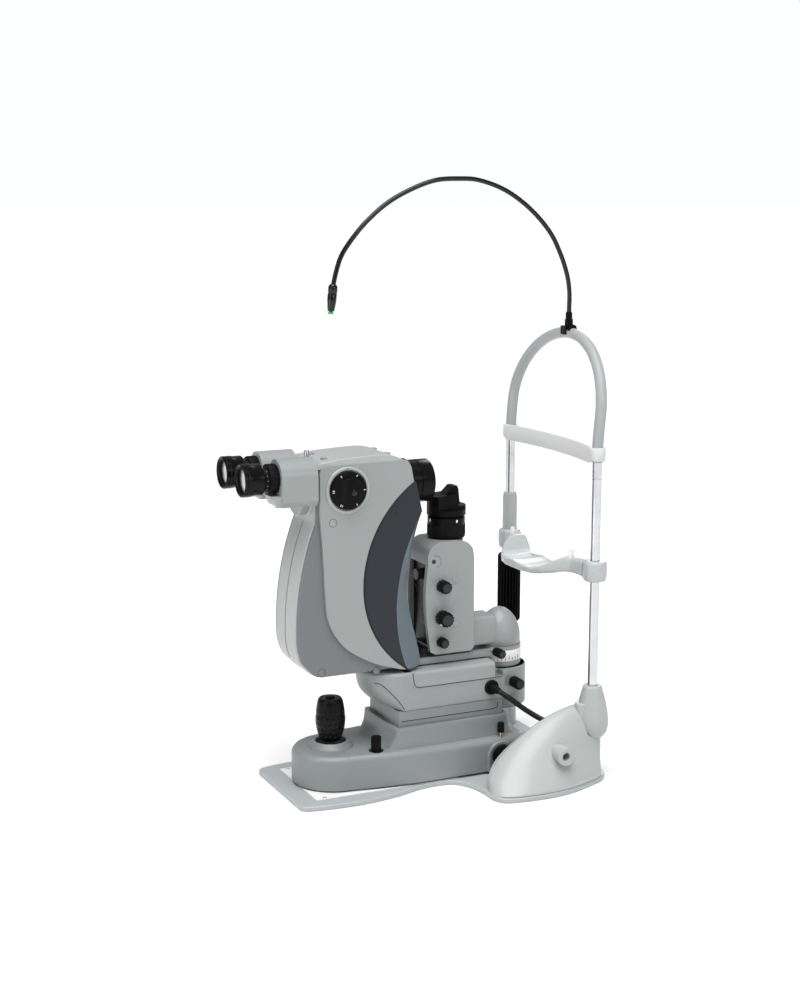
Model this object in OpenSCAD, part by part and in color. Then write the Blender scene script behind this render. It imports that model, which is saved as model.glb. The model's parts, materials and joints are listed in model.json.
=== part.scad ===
/* [Head rest] */
// Distance between the centres of the two poles
pole_spacing = 220; // [200:1:240]
// Diameter of the chromed poles
pole_d = 12.4; // [11:0.1:14]
// Height of the top of the arch above the table
arch_top = 548; // [530:1:560]
// How far the top of the arch leans towards the patient
arch_lean = 21.5; // [10:0.5:26]
// Outer diameter of the padded arch tube
arch_d = 13.6; // [13:0.1:15]
// Height of the middle of the chin rest's slider
chin_h = 265; // [262:1:275]

/* [Base plate] */
// Distance from the pole plane to the plate's front edge
plate_front = 377; // [370:1:384]
// Thickness of the base plate
plate_t = 6; // [5:0.5:6]
// Height of the rail covers at their highest point
cover_h = 97; // [92:1:100]

/* [Moving base] */
// Height of the top face of the moving base
base_top = 51; // [49:1:53]
// Half of the width of the moving base
base_hw = 64; // [58:1:68]
// Radius of its round nose
nose_r = 53; // [48:1:56]
// Height of the axle
axle_z = 28; // [27:0.5:29]

/* [Column and arm] */
// Height of the top of the arm housing
arm_top = 144; // [140:1:145]
// Distance from the swing axis to the pole plane
pivot_back = 74; // [70:1:78]
// Half of the width of the arm housing
arm_hw = 45; // [42:1:46]

/* [Laser body] */
// Height of the objective's axis
axis_z = 374; // [370:1:378]
// Half of the width over the side panels
body_hw = 42; // [38:1:44]
// Diameter of the objective barrel
objective_d = 53; // [48:1:54]

/* [Binocular] */
// Distance between the two eyepiece axes
ipd = 64; // [58:1:68]
// Height of the eyepiece axes
eye_z = 396; // [392:1:400]
// Diameter of the eyecups
eyecup_d = 39; // [36:0.5:40]

/* [Illumination tower] */
// Half of the width of the tower housing
tower_hw = 29; // [26:1:30]
// Height of the tower's shoulder
tower_top = 300; // [294:1:302]
// Diameter of the knurled knob on the tower
tower_knob_d = 48; // [44:1:49]

/* [Hidden] */

// The pole plane lies this far behind the middle of the whole outline
pole_x = 201.5;
eps = 0.01;
pole_y = pole_spacing / 2;
pole_r = pole_d / 2;
plate_z = plate_t;
axle_x = -104;
pivot_x = -pivot_back;

light_grey = [0.80, 0.82, 0.81];
mid_grey = [0.62, 0.65, 0.66];
deep_grey = [0.46, 0.49, 0.51];
slate = [0.20, 0.23, 0.27];
black = [0.06, 0.06, 0.07];
steel = [0.75, 0.76, 0.78];
white = [0.93, 0.93, 0.91];
glass = [0.55, 0.65, 0.75, 0.5];

// ---------- helpers ----------

// Points along a circular arc
function arc(cx, cy, r, a0, a1, n = 12) =
    [for (i = [0:n]) let (a = a0 + (a1 - a0) * i / n) [cx + r * cos(a), cy + r * sin(a)]];

// One point of a smooth curve between b and c
function blend(a, b, c, d, t) =
    0.5 * (2 * b + (c - a) * t + (2 * a - 5 * b + 4 * c - d) * t * t + (3 * b - a - 3 * c + d) * t * t * t);

// A smooth open curve through the points p, with n steps between neighbours
function smooth(p, n = 5) =
    [for (i = [0:len(p) - 2])
        let (a = p[max(i - 1, 0)], b = p[i], c = p[i + 1], d = p[min(i + 2, len(p) - 1)])
        for (k = [0:(i == len(p) - 2 ? n : n - 1)]) blend(a, b, c, d, k / n)];

// The same points seen in a mirror across the X axis, in reverse order
function mirrored(p) = [for (i = [len(p) - 1:-1:0]) [p[i][0], -p[i][1]]];

// Moves the origin from the pole plane to the middle of the outline
module place() translate([pole_x, 0, 0]) children();

// Stands an outline drawn in X and Z upright between two Y values
module upright(y0, y1) translate([0, y1, 0]) rotate([90, 0, 0]) linear_extrude(y1 - y0) children();

// A cylinder along Y from y0 to y1
module bar_y(x, z, r, y0, y1) translate([x, y0, z]) rotate([-90, 0, 0]) cylinder(r = r, h = y1 - y0, $fn = 64);

// A cylinder along X from x0 to x1
module bar_x(y, z, r, x0, x1) translate([x0, y, z]) rotate([0, 90, 0]) cylinder(r = r, h = x1 - x0, $fn = 64);

// A cylinder along Z from z0 to z1
module bar_z(x, y, r, z0, z1) translate([x, y, z0]) cylinder(r = r, h = z1 - z0, $fn = 64);

// Draws its children on the right (-Y) and on the left (+Y)
module both_sides() {
    children();
    mirror([0, 1, 0]) children();
}

// A fluted control knob that points along -Y, r and length, with its root at y = 0
module fluted_knob(r, len, flutes) {
    difference() {
        rotate([90, 0, 0]) cylinder(r = r, h = len, $fn = 48);
        for (i = [0:flutes - 1]) rotate([0, i * 360 / flutes, 0]) translate([r + 0.5, -1.5, 0])
            rotate([90, 0, 0]) cylinder(r = 1.1, h = len, $fn = 16);
    }
}

// ---------- base plate and rail covers ----------

plate_side = smooth([[-plate_front, -60], [-plate_front + 1, -72], [-366, -79], [-331, -84], [-292, -84],
                     [-250, -77], [-217, -66.5], [-190, -64], [-170, -69], [-157, -90], [-153, -118],
                     [-152, -140], [-140, -154], [-100, -160], [-57, -157], [-10, -139], [10, -126],
                     [18, -110]]);

module base_plate() color(mid_grey) place()
    linear_extrude(plate_z) polygon(concat(plate_side, mirrored(plate_side)));

sheet_t = 0.6;
module slide_sheet() color(white) place()
    translate([-352, -62, plate_z]) cube([190, 124, sheet_t]);

// Rail cover: its height and its inner and outer foot at one station along X
cover_line = [[-151, -136, -128, 8], [-146, -147, -111, 20], [-136, -153, -102, 33], [-122, -156.5, -99, 47],
              [-104, -158.5, -99, 61], [-82, -158.5, -99, 75], [-58, -156, -99, 86], [-32, -148, -99, 93],
              [-10, -139, -99, cover_h], [3, -131, -99, cover_h]];

// Section of the rail cover, from its inner foot over the ridge to its outer foot, grown inwards by w
function cover_section(s, w) =
    let (x = s[0], outer = s[1] + w, inner = s[2] - w, top = s[3] - w, low = w > 0 ? plate_z - 1 : plate_z,
         wide = inner - outer, tall = top - plate_z)
    [[x, inner, low], [x, inner, plate_z + 0.86 * tall], [x, inner - 0.04 * wide, top - 0.04 * tall],
     [x, inner - 0.12 * wide, top], [x, inner - 0.27 * wide, top - 0.03 * tall],
     [x, inner - 0.42 * wide, plate_z + 0.86 * tall], [x, inner - 0.57 * wide, plate_z + 0.68 * tall],
     [x, inner - 0.74 * wide, plate_z + 0.44 * tall], [x, inner - 0.90 * wide, plate_z + 0.2 * tall],
     [x, outer, plate_z + 0.03 * tall], [x, outer, low]];

// A closed solid through a row of sections that all have the same number of points
module loft(rows) {
    n = len(rows[0]);
    m = len(rows);
    points = [for (row = rows) for (p = row) p];
    walls = [for (j = [0:m - 2]) for (i = [0:n - 1]) let (k = (i + 1) % n)
        for (f = [[j * n + i, (j + 1) * n + i, j * n + k], [(j + 1) * n + i, (j + 1) * n + k, j * n + k]]) f];
    first = [for (i = [0:n - 1]) i];
    last = [for (i = [n - 1:-1:0]) (m - 1) * n + i];
    polyhedron(points = points, faces = concat(walls, [first, last]), convexity = 4);
}

// A round tube with r and k sides along the points p, whose bends lie square to the direction up
module sweep_tube(p, r, k, up) {
    n = len(p);
    function dir(i) = let (v = p[min(i + 1, n - 1)] - p[max(i - 1, 0)]) v / norm(v);
    loft([for (i = [0:n - 1]) let (v = cross(up, dir(i)), w = v / norm(v), u = cross(w, dir(i)))
        [for (j = [0:k - 1]) p[i] + r * (cos(j * 360 / k) * u + sin(j * 360 / k) * w)]]);
}

cover_wall = 2.5;
function cover_rows(w, from, to) = [for (i = [from:to]) cover_section(
    [cover_line[i][0] - (i == len(cover_line) - 1 ? w : 0), cover_line[i][1], cover_line[i][2], cover_line[i][3]], w)];

// The pole stand's outline, grown by g
module stand_outline(g) rotate_extrude($fn = 64)
    polygon([[0, plate_z], [11.5 + g, plate_z], [11.5 + g, 52 - g], [17 + g, 56 - g], [20.5 + g, 68], [20.5 + g, 80],
             [18 + g, 95], [13 + g, 114], [11.5 + g, 118.5 + g], [0, 118.5 + g]]);

side_boss = [-61, 47];
module rail_cover_one() {
    difference() {
        loft(cover_rows(0, 0, 9));
        loft(cover_rows(cover_wall, 2, 9));
        // slot for the axle over its whole travel
        translate([axle_x - 18, -106, axle_z - 9]) cube([70, 12, 18]);
        translate([0, -pole_y, 0]) stand_outline(0.25);
        bar_y(side_boss[0], side_boss[1], 11.6, -170, -130);
        // hole for the cable
        bar_y(-60, 76.5, 5.4, -106, -92);
    }
}
module rail_cover_right() color(light_grey) place() rail_cover_one();
module rail_cover_left() color(light_grey) place() mirror([0, 1, 0]) rail_cover_one();

// Threaded sockets for side accessories, one through each rail cover
module side_sockets() color(light_grey) place() both_sides() difference() {
    bar_y(side_boss[0], side_boss[1], 11.4, -153.5, -127);
    bar_y(side_boss[0], side_boss[1], 5, -155, -133);
}

// ---------- racks, axle and wheels ----------

tooth = 1.25;
pitch = PI * tooth;
wheel_teeth = 24;
wheel_r = tooth * wheel_teeth / 2;
rack_pitch_z = axle_z - wheel_r;
rack_n = 28;
play = 0.25;

module racks() color(steel) place() both_sides() translate([axle_x, 0, 0]) upright(-114, -106) {
    translate([-20, plate_z]) square([rack_n * pitch, rack_pitch_z - 1.6 - plate_z + eps]);
    for (i = [0:rack_n - 7]) translate([(i - 5 + 0.5) * pitch, rack_pitch_z])
        polygon([[-1.45 + play, -1.6], [-0.98 + play, 0], [-0.55 + play, 1.2], [0.55 - play, 1.2],
                 [0.98 - play, 0], [1.45 - play, -1.6]]);
}

// One drive wheel with a tooth pointing straight down
module drive_wheel() difference() {
    union() {
        bar_y(0, 0, wheel_r - 1.6, -4, 4);
        for (i = [0:wheel_teeth - 1]) rotate([0, i * 360 / wheel_teeth, 0]) upright(-4, 4)
            polygon([[-1.5 + play, -wheel_r + 2.2], [-0.98 + play, -wheel_r], [-0.4 + play, -wheel_r - 1.2],
                     [0.4 - play, -wheel_r - 1.2], [0.98 - play, -wheel_r], [1.5 - play, -wheel_r + 2.2]]);
    }
    bar_y(0, 0, 5, -5, 5);
}
module drive_wheels() color(steel) place() for (side = [-1, 1]) translate([axle_x, side * pole_y, axle_z])
    drive_wheel();

module axle() color(steel) place() bar_y(axle_x, axle_z, 5, -122, 122);

// Blocks that ride on the axle beside the wheels and keep them straight on the racks
module wheel_guides() color(black) place() both_sides() difference() {
    translate([axle_x - 9, -122, axle_z - 9]) cube([18, 6, 18]);
    bar_y(axle_x, axle_z, 5.05, -123, -115);
}

// ---------- moving base ----------

nose_x = -303;
base_end = -60;
base_low = plate_z + 2.6;
base_side = smooth([[nose_x, -nose_r], [-265, -base_hw + 5], [-225, -base_hw + 0.5], [-180, -base_hw]], 6);
base_rear = arc(base_end - 16, -base_hw + 16, 16, -90, 0, 6);
function base_outline(g) =
    let (side = concat(base_side, base_rear))
    concat(arc(nose_x, 0, nose_r, 90, 270, 40), side, mirrored(side));
module base_plan(g) offset(delta = -g) polygon(base_outline(0));

col_x0 = -235;
col_x1 = -92;
col_hw = 44;
joy_x = -308;
joy_z = 34;
collar_top = 58;

// An arch over the axle, with legs down to the edge of the base, between two Y values
module arch_block(r, y0, y1) {
    bar_y(axle_x, axle_z, r, y0, y1);
    translate([axle_x - r, y0, base_low]) cube([2 * r, y1 - y0, axle_z - base_low]);
}

module base_housing() color(mid_grey) place() difference() {
    union() {
        translate([0, 0, base_low]) linear_extrude(base_top - base_low) base_plan(0);
        translate([joy_x, 0, 0]) rotate_extrude($fn = 64)
            polygon([[0, base_top - 1], [28, base_top - 1], [27, base_top + 1.5], [22.5, collar_top - 1.5],
                     [21, collar_top], [0, collar_top]]);
        // raised arch around each axle boot
        both_sides() difference() {
            arch_block(19, -base_hw - 3, -base_hw + 1);
            arch_block(15, -base_hw - 4, -base_hw);
        }
    }
    translate([0, 0, base_low - 1]) linear_extrude(base_top - 3 - base_low + 1) base_plan(3);
    bar_z(joy_x, 0, 19, base_top - 4, collar_top + 1);
    translate([col_x0 - 1, -col_hw - 1, base_top - 4]) cube([col_x1 - col_x0 + 2, 2 * col_hw + 2, 6]);
    bar_y(axle_x, axle_z, 7, -base_hw - 1, base_hw + 1);
    bar_z(-266, -44, 3.05, base_top - 4, base_top + 1);
    bar_z(-101, -58.5, 2.05, base_top - 4, base_top + 1);
}

// Floor of the moving base with the axle bearings, the guide rods, the joystick seat and a glide foot
rod_x = [-196, -126];
module base_floor() color(steel) place() difference() {
    union() {
        translate([0, 0, base_low]) linear_extrude(3) base_plan(3.3);
        both_sides() translate([axle_x - 11, -base_hw + 4, base_low + 3 - eps]) cube([22, 10, 30]);
        for (x = rod_x) bar_z(x, 0, 5, base_low + 2, 92);
        bar_z(joy_x, 0, 24, base_low + 2, joy_z + 6);
        bar_z(joy_x, 0, 20, plate_z + sheet_t + 0.4, base_low + 1);
    }
    bar_y(axle_x, axle_z, 5.05, -base_hw, base_hw);
    bar_z(joy_x, 0, 19, base_low + 3, joy_z + 7);
    bar_y(joy_x, joy_z, 2.05, -30, 30);
    bar_z(-161, 0, 5.05, base_low - 1, base_low + 4);
}

// Outline of the skirt at the height z, grown by g
function skirt_ring(z, g) =
    let (x0 = -242 - g, x1 = -84 + g, hw = 52 + 0.2 * g, r = 8 + g)
    [for (p = concat(arc(x1 - r, hw - r, r, 0, 90, 5), arc(x0 + r, hw - r, r, 90, 180, 5),
                     arc(x0 + r, -hw + r, r, 180, 270, 5), arc(x1 - r, -hw + r, r, 270, 360, 5)))
        [p[0], p[1], z]];
module column_skirt() color(mid_grey) place() difference() {
    loft([skirt_ring(base_top, 10), skirt_ring(base_top + 3, 6.5), skirt_ring(base_top + 10, 3),
          skirt_ring(base_top + 25, 0)]);
    translate([col_x0 - 1, -col_hw - 1, base_top - 1]) cube([col_x1 - col_x0 + 2, 2 * col_hw + 2, 40]);
}

module axle_boots() color(black) place() both_sides() difference() {
    translate([axle_x, -base_hw - 10, axle_z]) rotate([-90, 0, 0]) cylinder(r1 = 9, r2 = 12, h = 10, $fn = 48);
    bar_y(axle_x, axle_z, 5.6, -base_hw - 11, -base_hw + 1);
}

module base_lock_knob() color(black) place() translate([-266, -44, 0]) {
    bar_z(0, 0, 6.2, base_top + 1.2, base_top + 19);
    bar_z(0, 0, 3, base_top - 8, base_top + 1.3);
}

module transport_pin() color(black) place() translate([-101, -58.5, 0]) {
    bar_z(0, 0, 4.3, base_top + 5, base_top + 18);
    bar_z(0, 0, 2, base_top - 8, base_top + 5.1);
}

// ---------- joystick ----------

module gimbal_ring() color(steel) place() translate([joy_x, 0, joy_z]) {
    difference() {
        translate([0, 0, -3]) cylinder(r = 16, h = 6, $fn = 64);
        translate([0, 0, -4]) cylinder(r = 13, h = 8, $fn = 64);
        bar_x(0, 0, 2.05, -17, 17);
    }
    both_sides() bar_y(0, 0, 2, -22.5, -15.5);
}

module joystick_shaft() color(steel) place() translate([joy_x, 0, joy_z]) {
    sphere(r = 9.5, $fn = 48);
    bar_x(0, 0, 2, -15.8, 15.8);
    bar_z(0, 0, 4, -12, 62);
}

grip_low = 57;
grip_top = 112;
module joystick_grip() color(black) place() translate([joy_x, 0, 0]) difference() {
    rotate_extrude($fn = 64) polygon(concat([[0, grip_low]], smooth([[9.5, grip_low], [12.2, grip_low + 3],
        [16, grip_low + 12], [18.5, grip_low + 25], [18, grip_low + 36], [16.6, grip_low + 46],
        [15.2, grip_low + 53], [13.5, grip_top]], 3), [[0, grip_top]]));
    bar_z(0, 0, 4.05, grip_low - 1, 99);
    bar_z(0, 0, 5.7, 106, grip_top + 1);
}

module fire_button() color(black) place() bar_z(joy_x, 0, 5.6, 109, 115);

// ---------- column and arm ----------

arm_low = 95.5;
col_low = 38;

module lift_screw() color(steel) place() bar_z(-161, 0, 5, base_low + 0.5, 92);

module column() color(mid_grey) place() difference() {
    translate([col_x0, -col_hw, col_low]) cube([col_x1 - col_x0, 2 * col_hw, arm_low - col_low]);
    translate([col_x0 + 4, -col_hw + 4, 62]) cube([col_x1 - col_x0 - 8, 2 * col_hw - 8, 40]);
    for (x = rod_x) bar_z(x, 0, 5.05, col_low - 1, 64);
    bar_z(-161, 0, 5.05, col_low - 1, 64);
    // room for the pivot boss of the arm
    bar_z(pivot_x, 0, 34.7, 77, arm_low + 1);
}

arm_plan = concat(arc(-226, 0, arm_hw, 90, 270, 24), [[-88, -arm_hw], [-84, -arm_hw + 4], [-80, -34]],
                  arc(pivot_x, 0, 33, -80, 80, 24), [[-80, 34], [-84, arm_hw - 4], [-88, arm_hw]]);
arm_profile = concat([[0, arm_low], [0, arm_top], [-300, arm_top]],
                     smooth([[-273, arm_top], [-270, 130], [-262, 112], [-248, 100], [-236, arm_low]], 4));
seat_top = 130;
cover_x0 = -216;
cover_x1 = -90;
cover_z = 124;

module arm_solid() {
    intersection() {
        translate([0, 0, arm_low - 1]) linear_extrude(60) polygon(arm_plan);
        upright(-60, 60) polygon(arm_profile);
    }
    bar_z(pivot_x, 0, 34.5, 77.5, seat_top);
}

cavity_x0 = -226;
module arm_housing() color(mid_grey) place() difference() {
    arm_solid();
    // cavity under the top cover
    translate([cavity_x0, -arm_hw + 4, arm_low + 4]) cube([-100 - cavity_x0, 2 * arm_hw - 8, 60]);
    translate([cover_x0, -60, cover_z]) cube([cover_x1 - cover_x0, 120, 60]);
    translate([-100, -60, seat_top]) cube([100, 120, 60]);
    bar_z(pivot_x, 0, 9, 85, seat_top + 1);
    bar_y(-108, 112, 7.05, -60, -30);
    bar_y(-72, 113, 3.05, -60, -20);
}

module arm_cover() color(mid_grey) place() difference() {
    intersection() {
        arm_solid();
        translate([cover_x0 + 0.3, -60, cover_z + 0.3]) cube([cover_x1 - cover_x0 - 13, 120, 60]);
    }
    translate([cavity_x0, -arm_hw + 4, arm_low + 4])
        cube([-110 - cavity_x0, 2 * arm_hw - 8, arm_top - arm_low - 8]);
}

module pivot_shaft() color(steel) place() bar_z(pivot_x, 0, 9, 85, 190);

cable_r = 3.4;
module cable_gland() color(black) place() difference() {
    union() {
        translate([-108, -arm_hw - 3, 112]) rotate([-90, 0, 0]) cylinder(r = 9.5, h = 3, $fn = 48);
        bar_y(-108, 112, 7, -arm_hw - 1, -arm_hw + 6);
    }
    bar_y(-108, 112, cable_r, -60, -30);
}

module arm_lock_knob() color(black) place() translate([-72, -33.5, 113]) {
    translate([0, -3, 0]) fluted_knob(7.2, 19, 10);
    bar_y(0, 0, 3, -4, 8);
}

// The cable's route from the gland to the rail cover
cable_route = [[-108, -41, 112], [-108, -48, 112], [-107, -53, 111.5], [-104, -59, 109.5], [-99, -65, 105.5],
               [-92, -71, 100], [-84, -77, 93], [-75, -84, 86], [-67, -91, 80.5], [-61, -98, 77],
               [-59, -105, 75.5], [-59, -111, 75]];
module cable() color(black) place() sweep_tube(smooth(cable_route, 2), cable_r, 10, [0, 0, 1]);

// ---------- microscope and laser body ----------

plate_low = 146;
module microscope_arm() color(light_grey) place() difference() {
    union() {
        bar_z(pivot_x, 0, 28, seat_top + 0.4, 156);
        translate([-330, -24, plate_low]) cube([250, 48, 8]);
        translate([-330, -24, plate_low]) cube([60, 48, 16]);
    }
    bar_z(pivot_x, 0, 9.05, seat_top - 1, 157);
    bar_y(-92, 151.6, 2.55, -60, -12);
}

module swing_lock_knob() color(black) place() translate([-92, -29, 151.6]) {
    translate([0, -1, 0]) fluted_knob(5.8, 15, 10);
    bar_y(0, 0, 2.5, -2, 14);
}

body_low = 149;
panel_low = 147;
body_rear_x = -366;
body_rear_z = 205;
body_rear_r = 360;
changer_x = -301;
changer_z = 377;

// Side outline of the laser body, pulled in at the rear by g
function body_outline(g) = concat(
    [[-240, body_low + g], [-338, body_low + g], [-352 + g, 160], [-362 + g, 172 + g / 2]],
    [for (z = [180:12:336]) [body_rear_x + g + body_rear_r - sqrt(pow(body_rear_r, 2) - pow(z - body_rear_z, 2)), z]],
    [[-340 + g, 345], [-340 + g, 409 - g], [-334 + g, 414 - g], [-270, 416.5 - g], [-246, 415.5 - g],
     [-228 - g, 409 - g], [-217 - g, 398], [-216 - g, 345]],
    arc(-216 + 230 - g, 250, 246, 156, 204, 12));

core_hw = 33;
module body_casing() color(light_grey) place() difference() {
    upright(-core_hw, core_hw) polygon(body_outline(0));
    upright(-core_hw + 3, core_hw - 3) polygon(body_outline(4));
    // rear opening, closed by the rear cover
    translate([-380, -core_hw - 1, 140]) cube([27, 2 * core_hw + 2, 197]);
    // slot for the arm
    translate([-340, -24, 140]) cube([160, 48, 24]);
    bar_z(-336, 0, 3.2, 400, 420);
    bar_x(0, axis_z, objective_d / 2 + 0.2, -240, -200);
    bar_x(0, 380, 24.2, -345, -330);
    bar_y(changer_x, changer_z, 6, -60, 60);
}

module rear_cover() color(light_grey) place() difference() {
    intersection() {
        upright(-core_hw, core_hw) polygon(body_outline(0));
        translate([-380, -core_hw - 1, 140]) cube([26.7, 2 * core_hw + 2, 196.7]);
    }
    upright(-core_hw + 3, core_hw - 3) polygon(body_outline(4));
    translate([-356, -24, 140]) cube([20, 48, 24]);
}

// Front edge of the side panel, which is also the rear edge of the shell
panel_edge = concat(arc(-127.5, 254, 153, 124, 180, 12), arc(-155.5, 254, 125, 180, 237, 12));
shell_edge = concat([[-203, 343]], arc(33, 215, 270, 152, 180, 8), arc(-70, 215, 167, 180, 203, 6));

// Frame behind the panel, the raised panel on it and the ring around the magnification knob
module side_panel() {
    difference() {
        upright(-core_hw - 5, -core_hw) difference() {
            polygon(body_outline(0));
            polygon(concat([[-150, 381]], panel_edge, [[-150, panel_low - 4]]));
        }
        bar_y(changer_x, changer_z, 6, -50, -20);
    }
    difference() {
        union() {
            upright(-body_hw, -core_hw - 5 + eps) polygon(concat([[-216, 381], [-218, 398], [-230, 407],
                [-330, 408], [-330, 250]], smooth([[-330, 250], [-325, 215], [-306, 185], [-273, 164],
                [-224, panel_low]], 4), [for (i = [len(panel_edge) - 1:-1:0]) panel_edge[i]]));
            bar_y(changer_x, changer_z, 28.2, -body_hw - 1.8, -body_hw + 1);
        }
        bar_y(changer_x, changer_z, 23.9, -body_hw - 2, -body_hw);
        bar_y(changer_x, changer_z, 6, -50, -20);
    }
}
module side_panels() color(light_grey) place() both_sides() side_panel();

module side_shells() color(slate) place() both_sides() {
    upright(-body_hw + 5, -core_hw) polygon(concat([for (i = [0:len(panel_edge) - 1]) panel_edge[i] + [0.4, 0]],
        smooth([[-202, 150], [-208, 190], [-219, 235], [-218, 262], [-211, 303], [-198, 340], [-209, 360]], 4)));
    upright(-body_hw, -body_hw + 5 + eps) polygon(concat([for (i = [0:len(panel_edge) - 1]) panel_edge[i] + [0.4, 0]],
        [for (i = [len(shell_edge) - 1:-1:0]) shell_edge[i]]));
}

module objective_barrel() color(black) place() difference() {
    bar_x(0, axis_z, objective_d / 2, -238, -177);
    bar_x(0, axis_z, objective_d / 2 - 4, -239, -176);
}
module objective_lens() color(glass) place() translate([-190, 0, axis_z]) rotate([0, 90, 0])
    rotate_extrude($fn = 64) polygon(concat([[0, 0], [22.4, 0]], arc(0, -56.7, 64.7, 69.74, 90, 6)));

module laser_module() color(deep_grey) place() {
    translate([-325, -22, 162]) cube([86, 44, 143]);
    translate([-318, -16, 305]) cube([70, 32, 12]);
}

module binocular_mount() color(mid_grey) place() difference() {
    union() {
        bar_x(0, 380, 24, -343, -320);
        bar_x(0, 371, 17, -376, -343);
        bar_x(0, 371, 27, -352, -343);
        bar_z(-336, 0, 3.2, 400, 421);
    }
    bar_x(0, 380, 18, -339, -319);
}

// Turret drum with its shaft and the two knobs on the outside
module magnification_changer() color(black) place() {
    bar_y(changer_x, changer_z, 5, -body_hw - 1, body_hw + 1);
    bar_y(changer_x, changer_z, 16, -20, 20);
    both_sides() {
        bar_y(changer_x, changer_z, 23.3, -body_hw - 5, -body_hw - 0.5);
        translate([changer_x - 6.5, -body_hw - 10.5, changer_z - 19.5]) cube([13, 6, 39]);
    }
}

// ---------- binocular ----------

prism_x0 = -388;
prism_x1 = -343;
// Arched box over one eyepiece axis
module prism_block(side) {
    y = side * ipd / 2;
    translate([prism_x0, y, eye_z]) rotate([90, 0, 90]) linear_extrude(prism_x1 - prism_x0)
        polygon(concat(arc(0, 0, 22.5, 0, 180, 20), [[-22.5, -26], [-16, -33], [16, -33], [22.5, -26]]));
}

// Wedge under the eyepiece, which narrows towards the eye
module prism_nose(side) intersection() {
    upright(-100, 100) polygon([[prism_x0 + 1, eye_z - 32], [prism_x0 - 3, eye_z - 32], [prism_x0 - 11, eye_z - 19],
        [prism_x0 + 1, eye_z - 19]]);
    translate([0, side * ipd / 2, eye_z - 40]) linear_extrude(40)
        polygon([[prism_x0 + 2, -20], [prism_x0 + 2, 20], [prism_x0 - 12, 9], [prism_x0 - 12, -9]]);
}
module prism_body(side) color(mid_grey) place() difference() {
    union() {
        prism_block(side);
        prism_nose(side);
    }
    // room for the mount's barrel and flange between the two housings
    bar_x(0, 371, 17.4, -377, -342);
    bar_x(0, 371, 27.4, -353, -341);
    bar_x(side * ipd / 2, eye_z, 15.05, prism_x0 - 1, prism_x0 + 12);
}
module prism_housing_right() prism_body(-1);
module prism_housing_left() prism_body(1);

module eyepiece(side) color(black) place() translate([0, side * ipd / 2, eye_z]) difference() {
    union() {
        bar_x(0, 0, eyecup_d / 2, -432, -407);
        bar_x(0, 0, 15.4, -407 - eps, -400);
        bar_x(0, 0, 17.6, -400 - eps, -388.3);
        bar_x(0, 0, 15, -388.3 - eps, -377);
    }
    bar_x(0, 0, 15.5, -433, -424);
    bar_x(0, 0, 12.05, -433, -376);
}
module eyepiece_right() eyepiece(-1);
module eyepiece_left() eyepiece(1);

module eye_lens(side) color(glass) place() bar_x(side * ipd / 2, eye_z, 12, -424, -418);
module eye_lens_right() eye_lens(-1);
module eye_lens_left() eye_lens(1);

// ---------- illumination tower ----------

hub_low = 156.4;
module illumination_arm() color(mid_grey) place() difference() {
    union() {
        translate([pivot_x, 0, 0]) rotate_extrude($fn = 64)
            polygon(concat([[0, hub_low], [27, hub_low]], smooth([[27, 165], [25, 180], [19, 193], [10, 200], [0, 202]], 4)));
        translate([-125, -20, 160]) cube([51, 40, 37]);
    }
    bar_z(pivot_x, 0, 9.05, hub_low - 1, 191);
    bar_z(pivot_x, 0, 2.6, 190, 205);
    }

tower_x0 = -190;
tower_x1 = -125;
tower_low = 158;
tower_profile = concat([[tower_x0 + 14, tower_low], [tower_x1 - 4, tower_low], [tower_x1, tower_low + 4],
    [tower_x1, 282], [-130, 292], [-140, tower_top], [-176, tower_top], [-185, 295], [tower_x0 + 1, 286]],
    smooth([[tower_x0 + 1, 270], [tower_x0 - 2, 235], [tower_x0, 200], [tower_x0 + 5, 164]], 4));
module tower_housing() color(mid_grey) place() difference() {
    upright(-tower_hw, tower_hw) polygon(tower_profile);
    translate([tower_x0 + 6, -tower_hw + 4, tower_low + 4]) cube([tower_x1 - tower_x0 - 10, 2 * tower_hw - 8, 120]);
    bar_z(-150, 0, 21, 270, tower_top + 1);
    translate([-196, -22, 168]) cube([14, 44, 104]);
    for (k = side_knobs) bar_y(k[0], k[1], 3.05, -tower_hw - 1, 0);
}

module lamp_module() color(black) place() {
    bar_z(-150, 0, 18, 170, 262);
    bar_x(0, 256, 7, -192, -165);
}

// Side knobs: X, Z, radius, length
side_knobs = [[-170, 245, 8, 15], [-170, 205, 9.6, 17], [-171, 174, 6.4, 13]];
module side_knob(i) color(black) place() translate([side_knobs[i][0], -tower_hw, side_knobs[i][1]]) {
    translate([0, -0.5, 0]) fluted_knob(side_knobs[i][2], side_knobs[i][3], 14);
    bar_y(0, 0, 3, -1, 9);
}
module filter_knob() side_knob(0);
module aperture_knob() side_knob(1);
module slit_knob() side_knob(2);

knob_low = 286;
module tower_knob() color(black) place() difference() {
    union() {
        bar_z(-150, 0, tower_knob_d / 2, tower_top + 0.4, 328);
        bar_z(-150, 0, 20.9, knob_low, tower_top + 0.5);
    }
    bar_z(-150, 0, 10.05, knob_low - 1, 329);
}

module tower_lever() color(black) place() {
    bar_z(-150, 0, 10, 290, 330.1);
    difference() {
        bar_z(-150, 0, 24.4, 329, 357);
        translate([-141, -30, 341]) cube([40, 60, 20]);
        translate([-180, -30, 353]) rotate([0, -4, 0]) cube([60, 60, 12]);
        translate([-180, -30, 336]) cube([60, 14, 30]);
        translate([-180, 16, 336]) cube([60, 14, 30]);
    }
    translate([0, 8, 0]) rotate([90, 0, 0]) linear_extrude(16)
        polygon([[-168, 350], [-158, 352], [-149, 361], [-145, 365], [-139, 365], [-137, 361], [-135, 342], [-160, 338]]);
}

// ---------- head rest ----------

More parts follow.
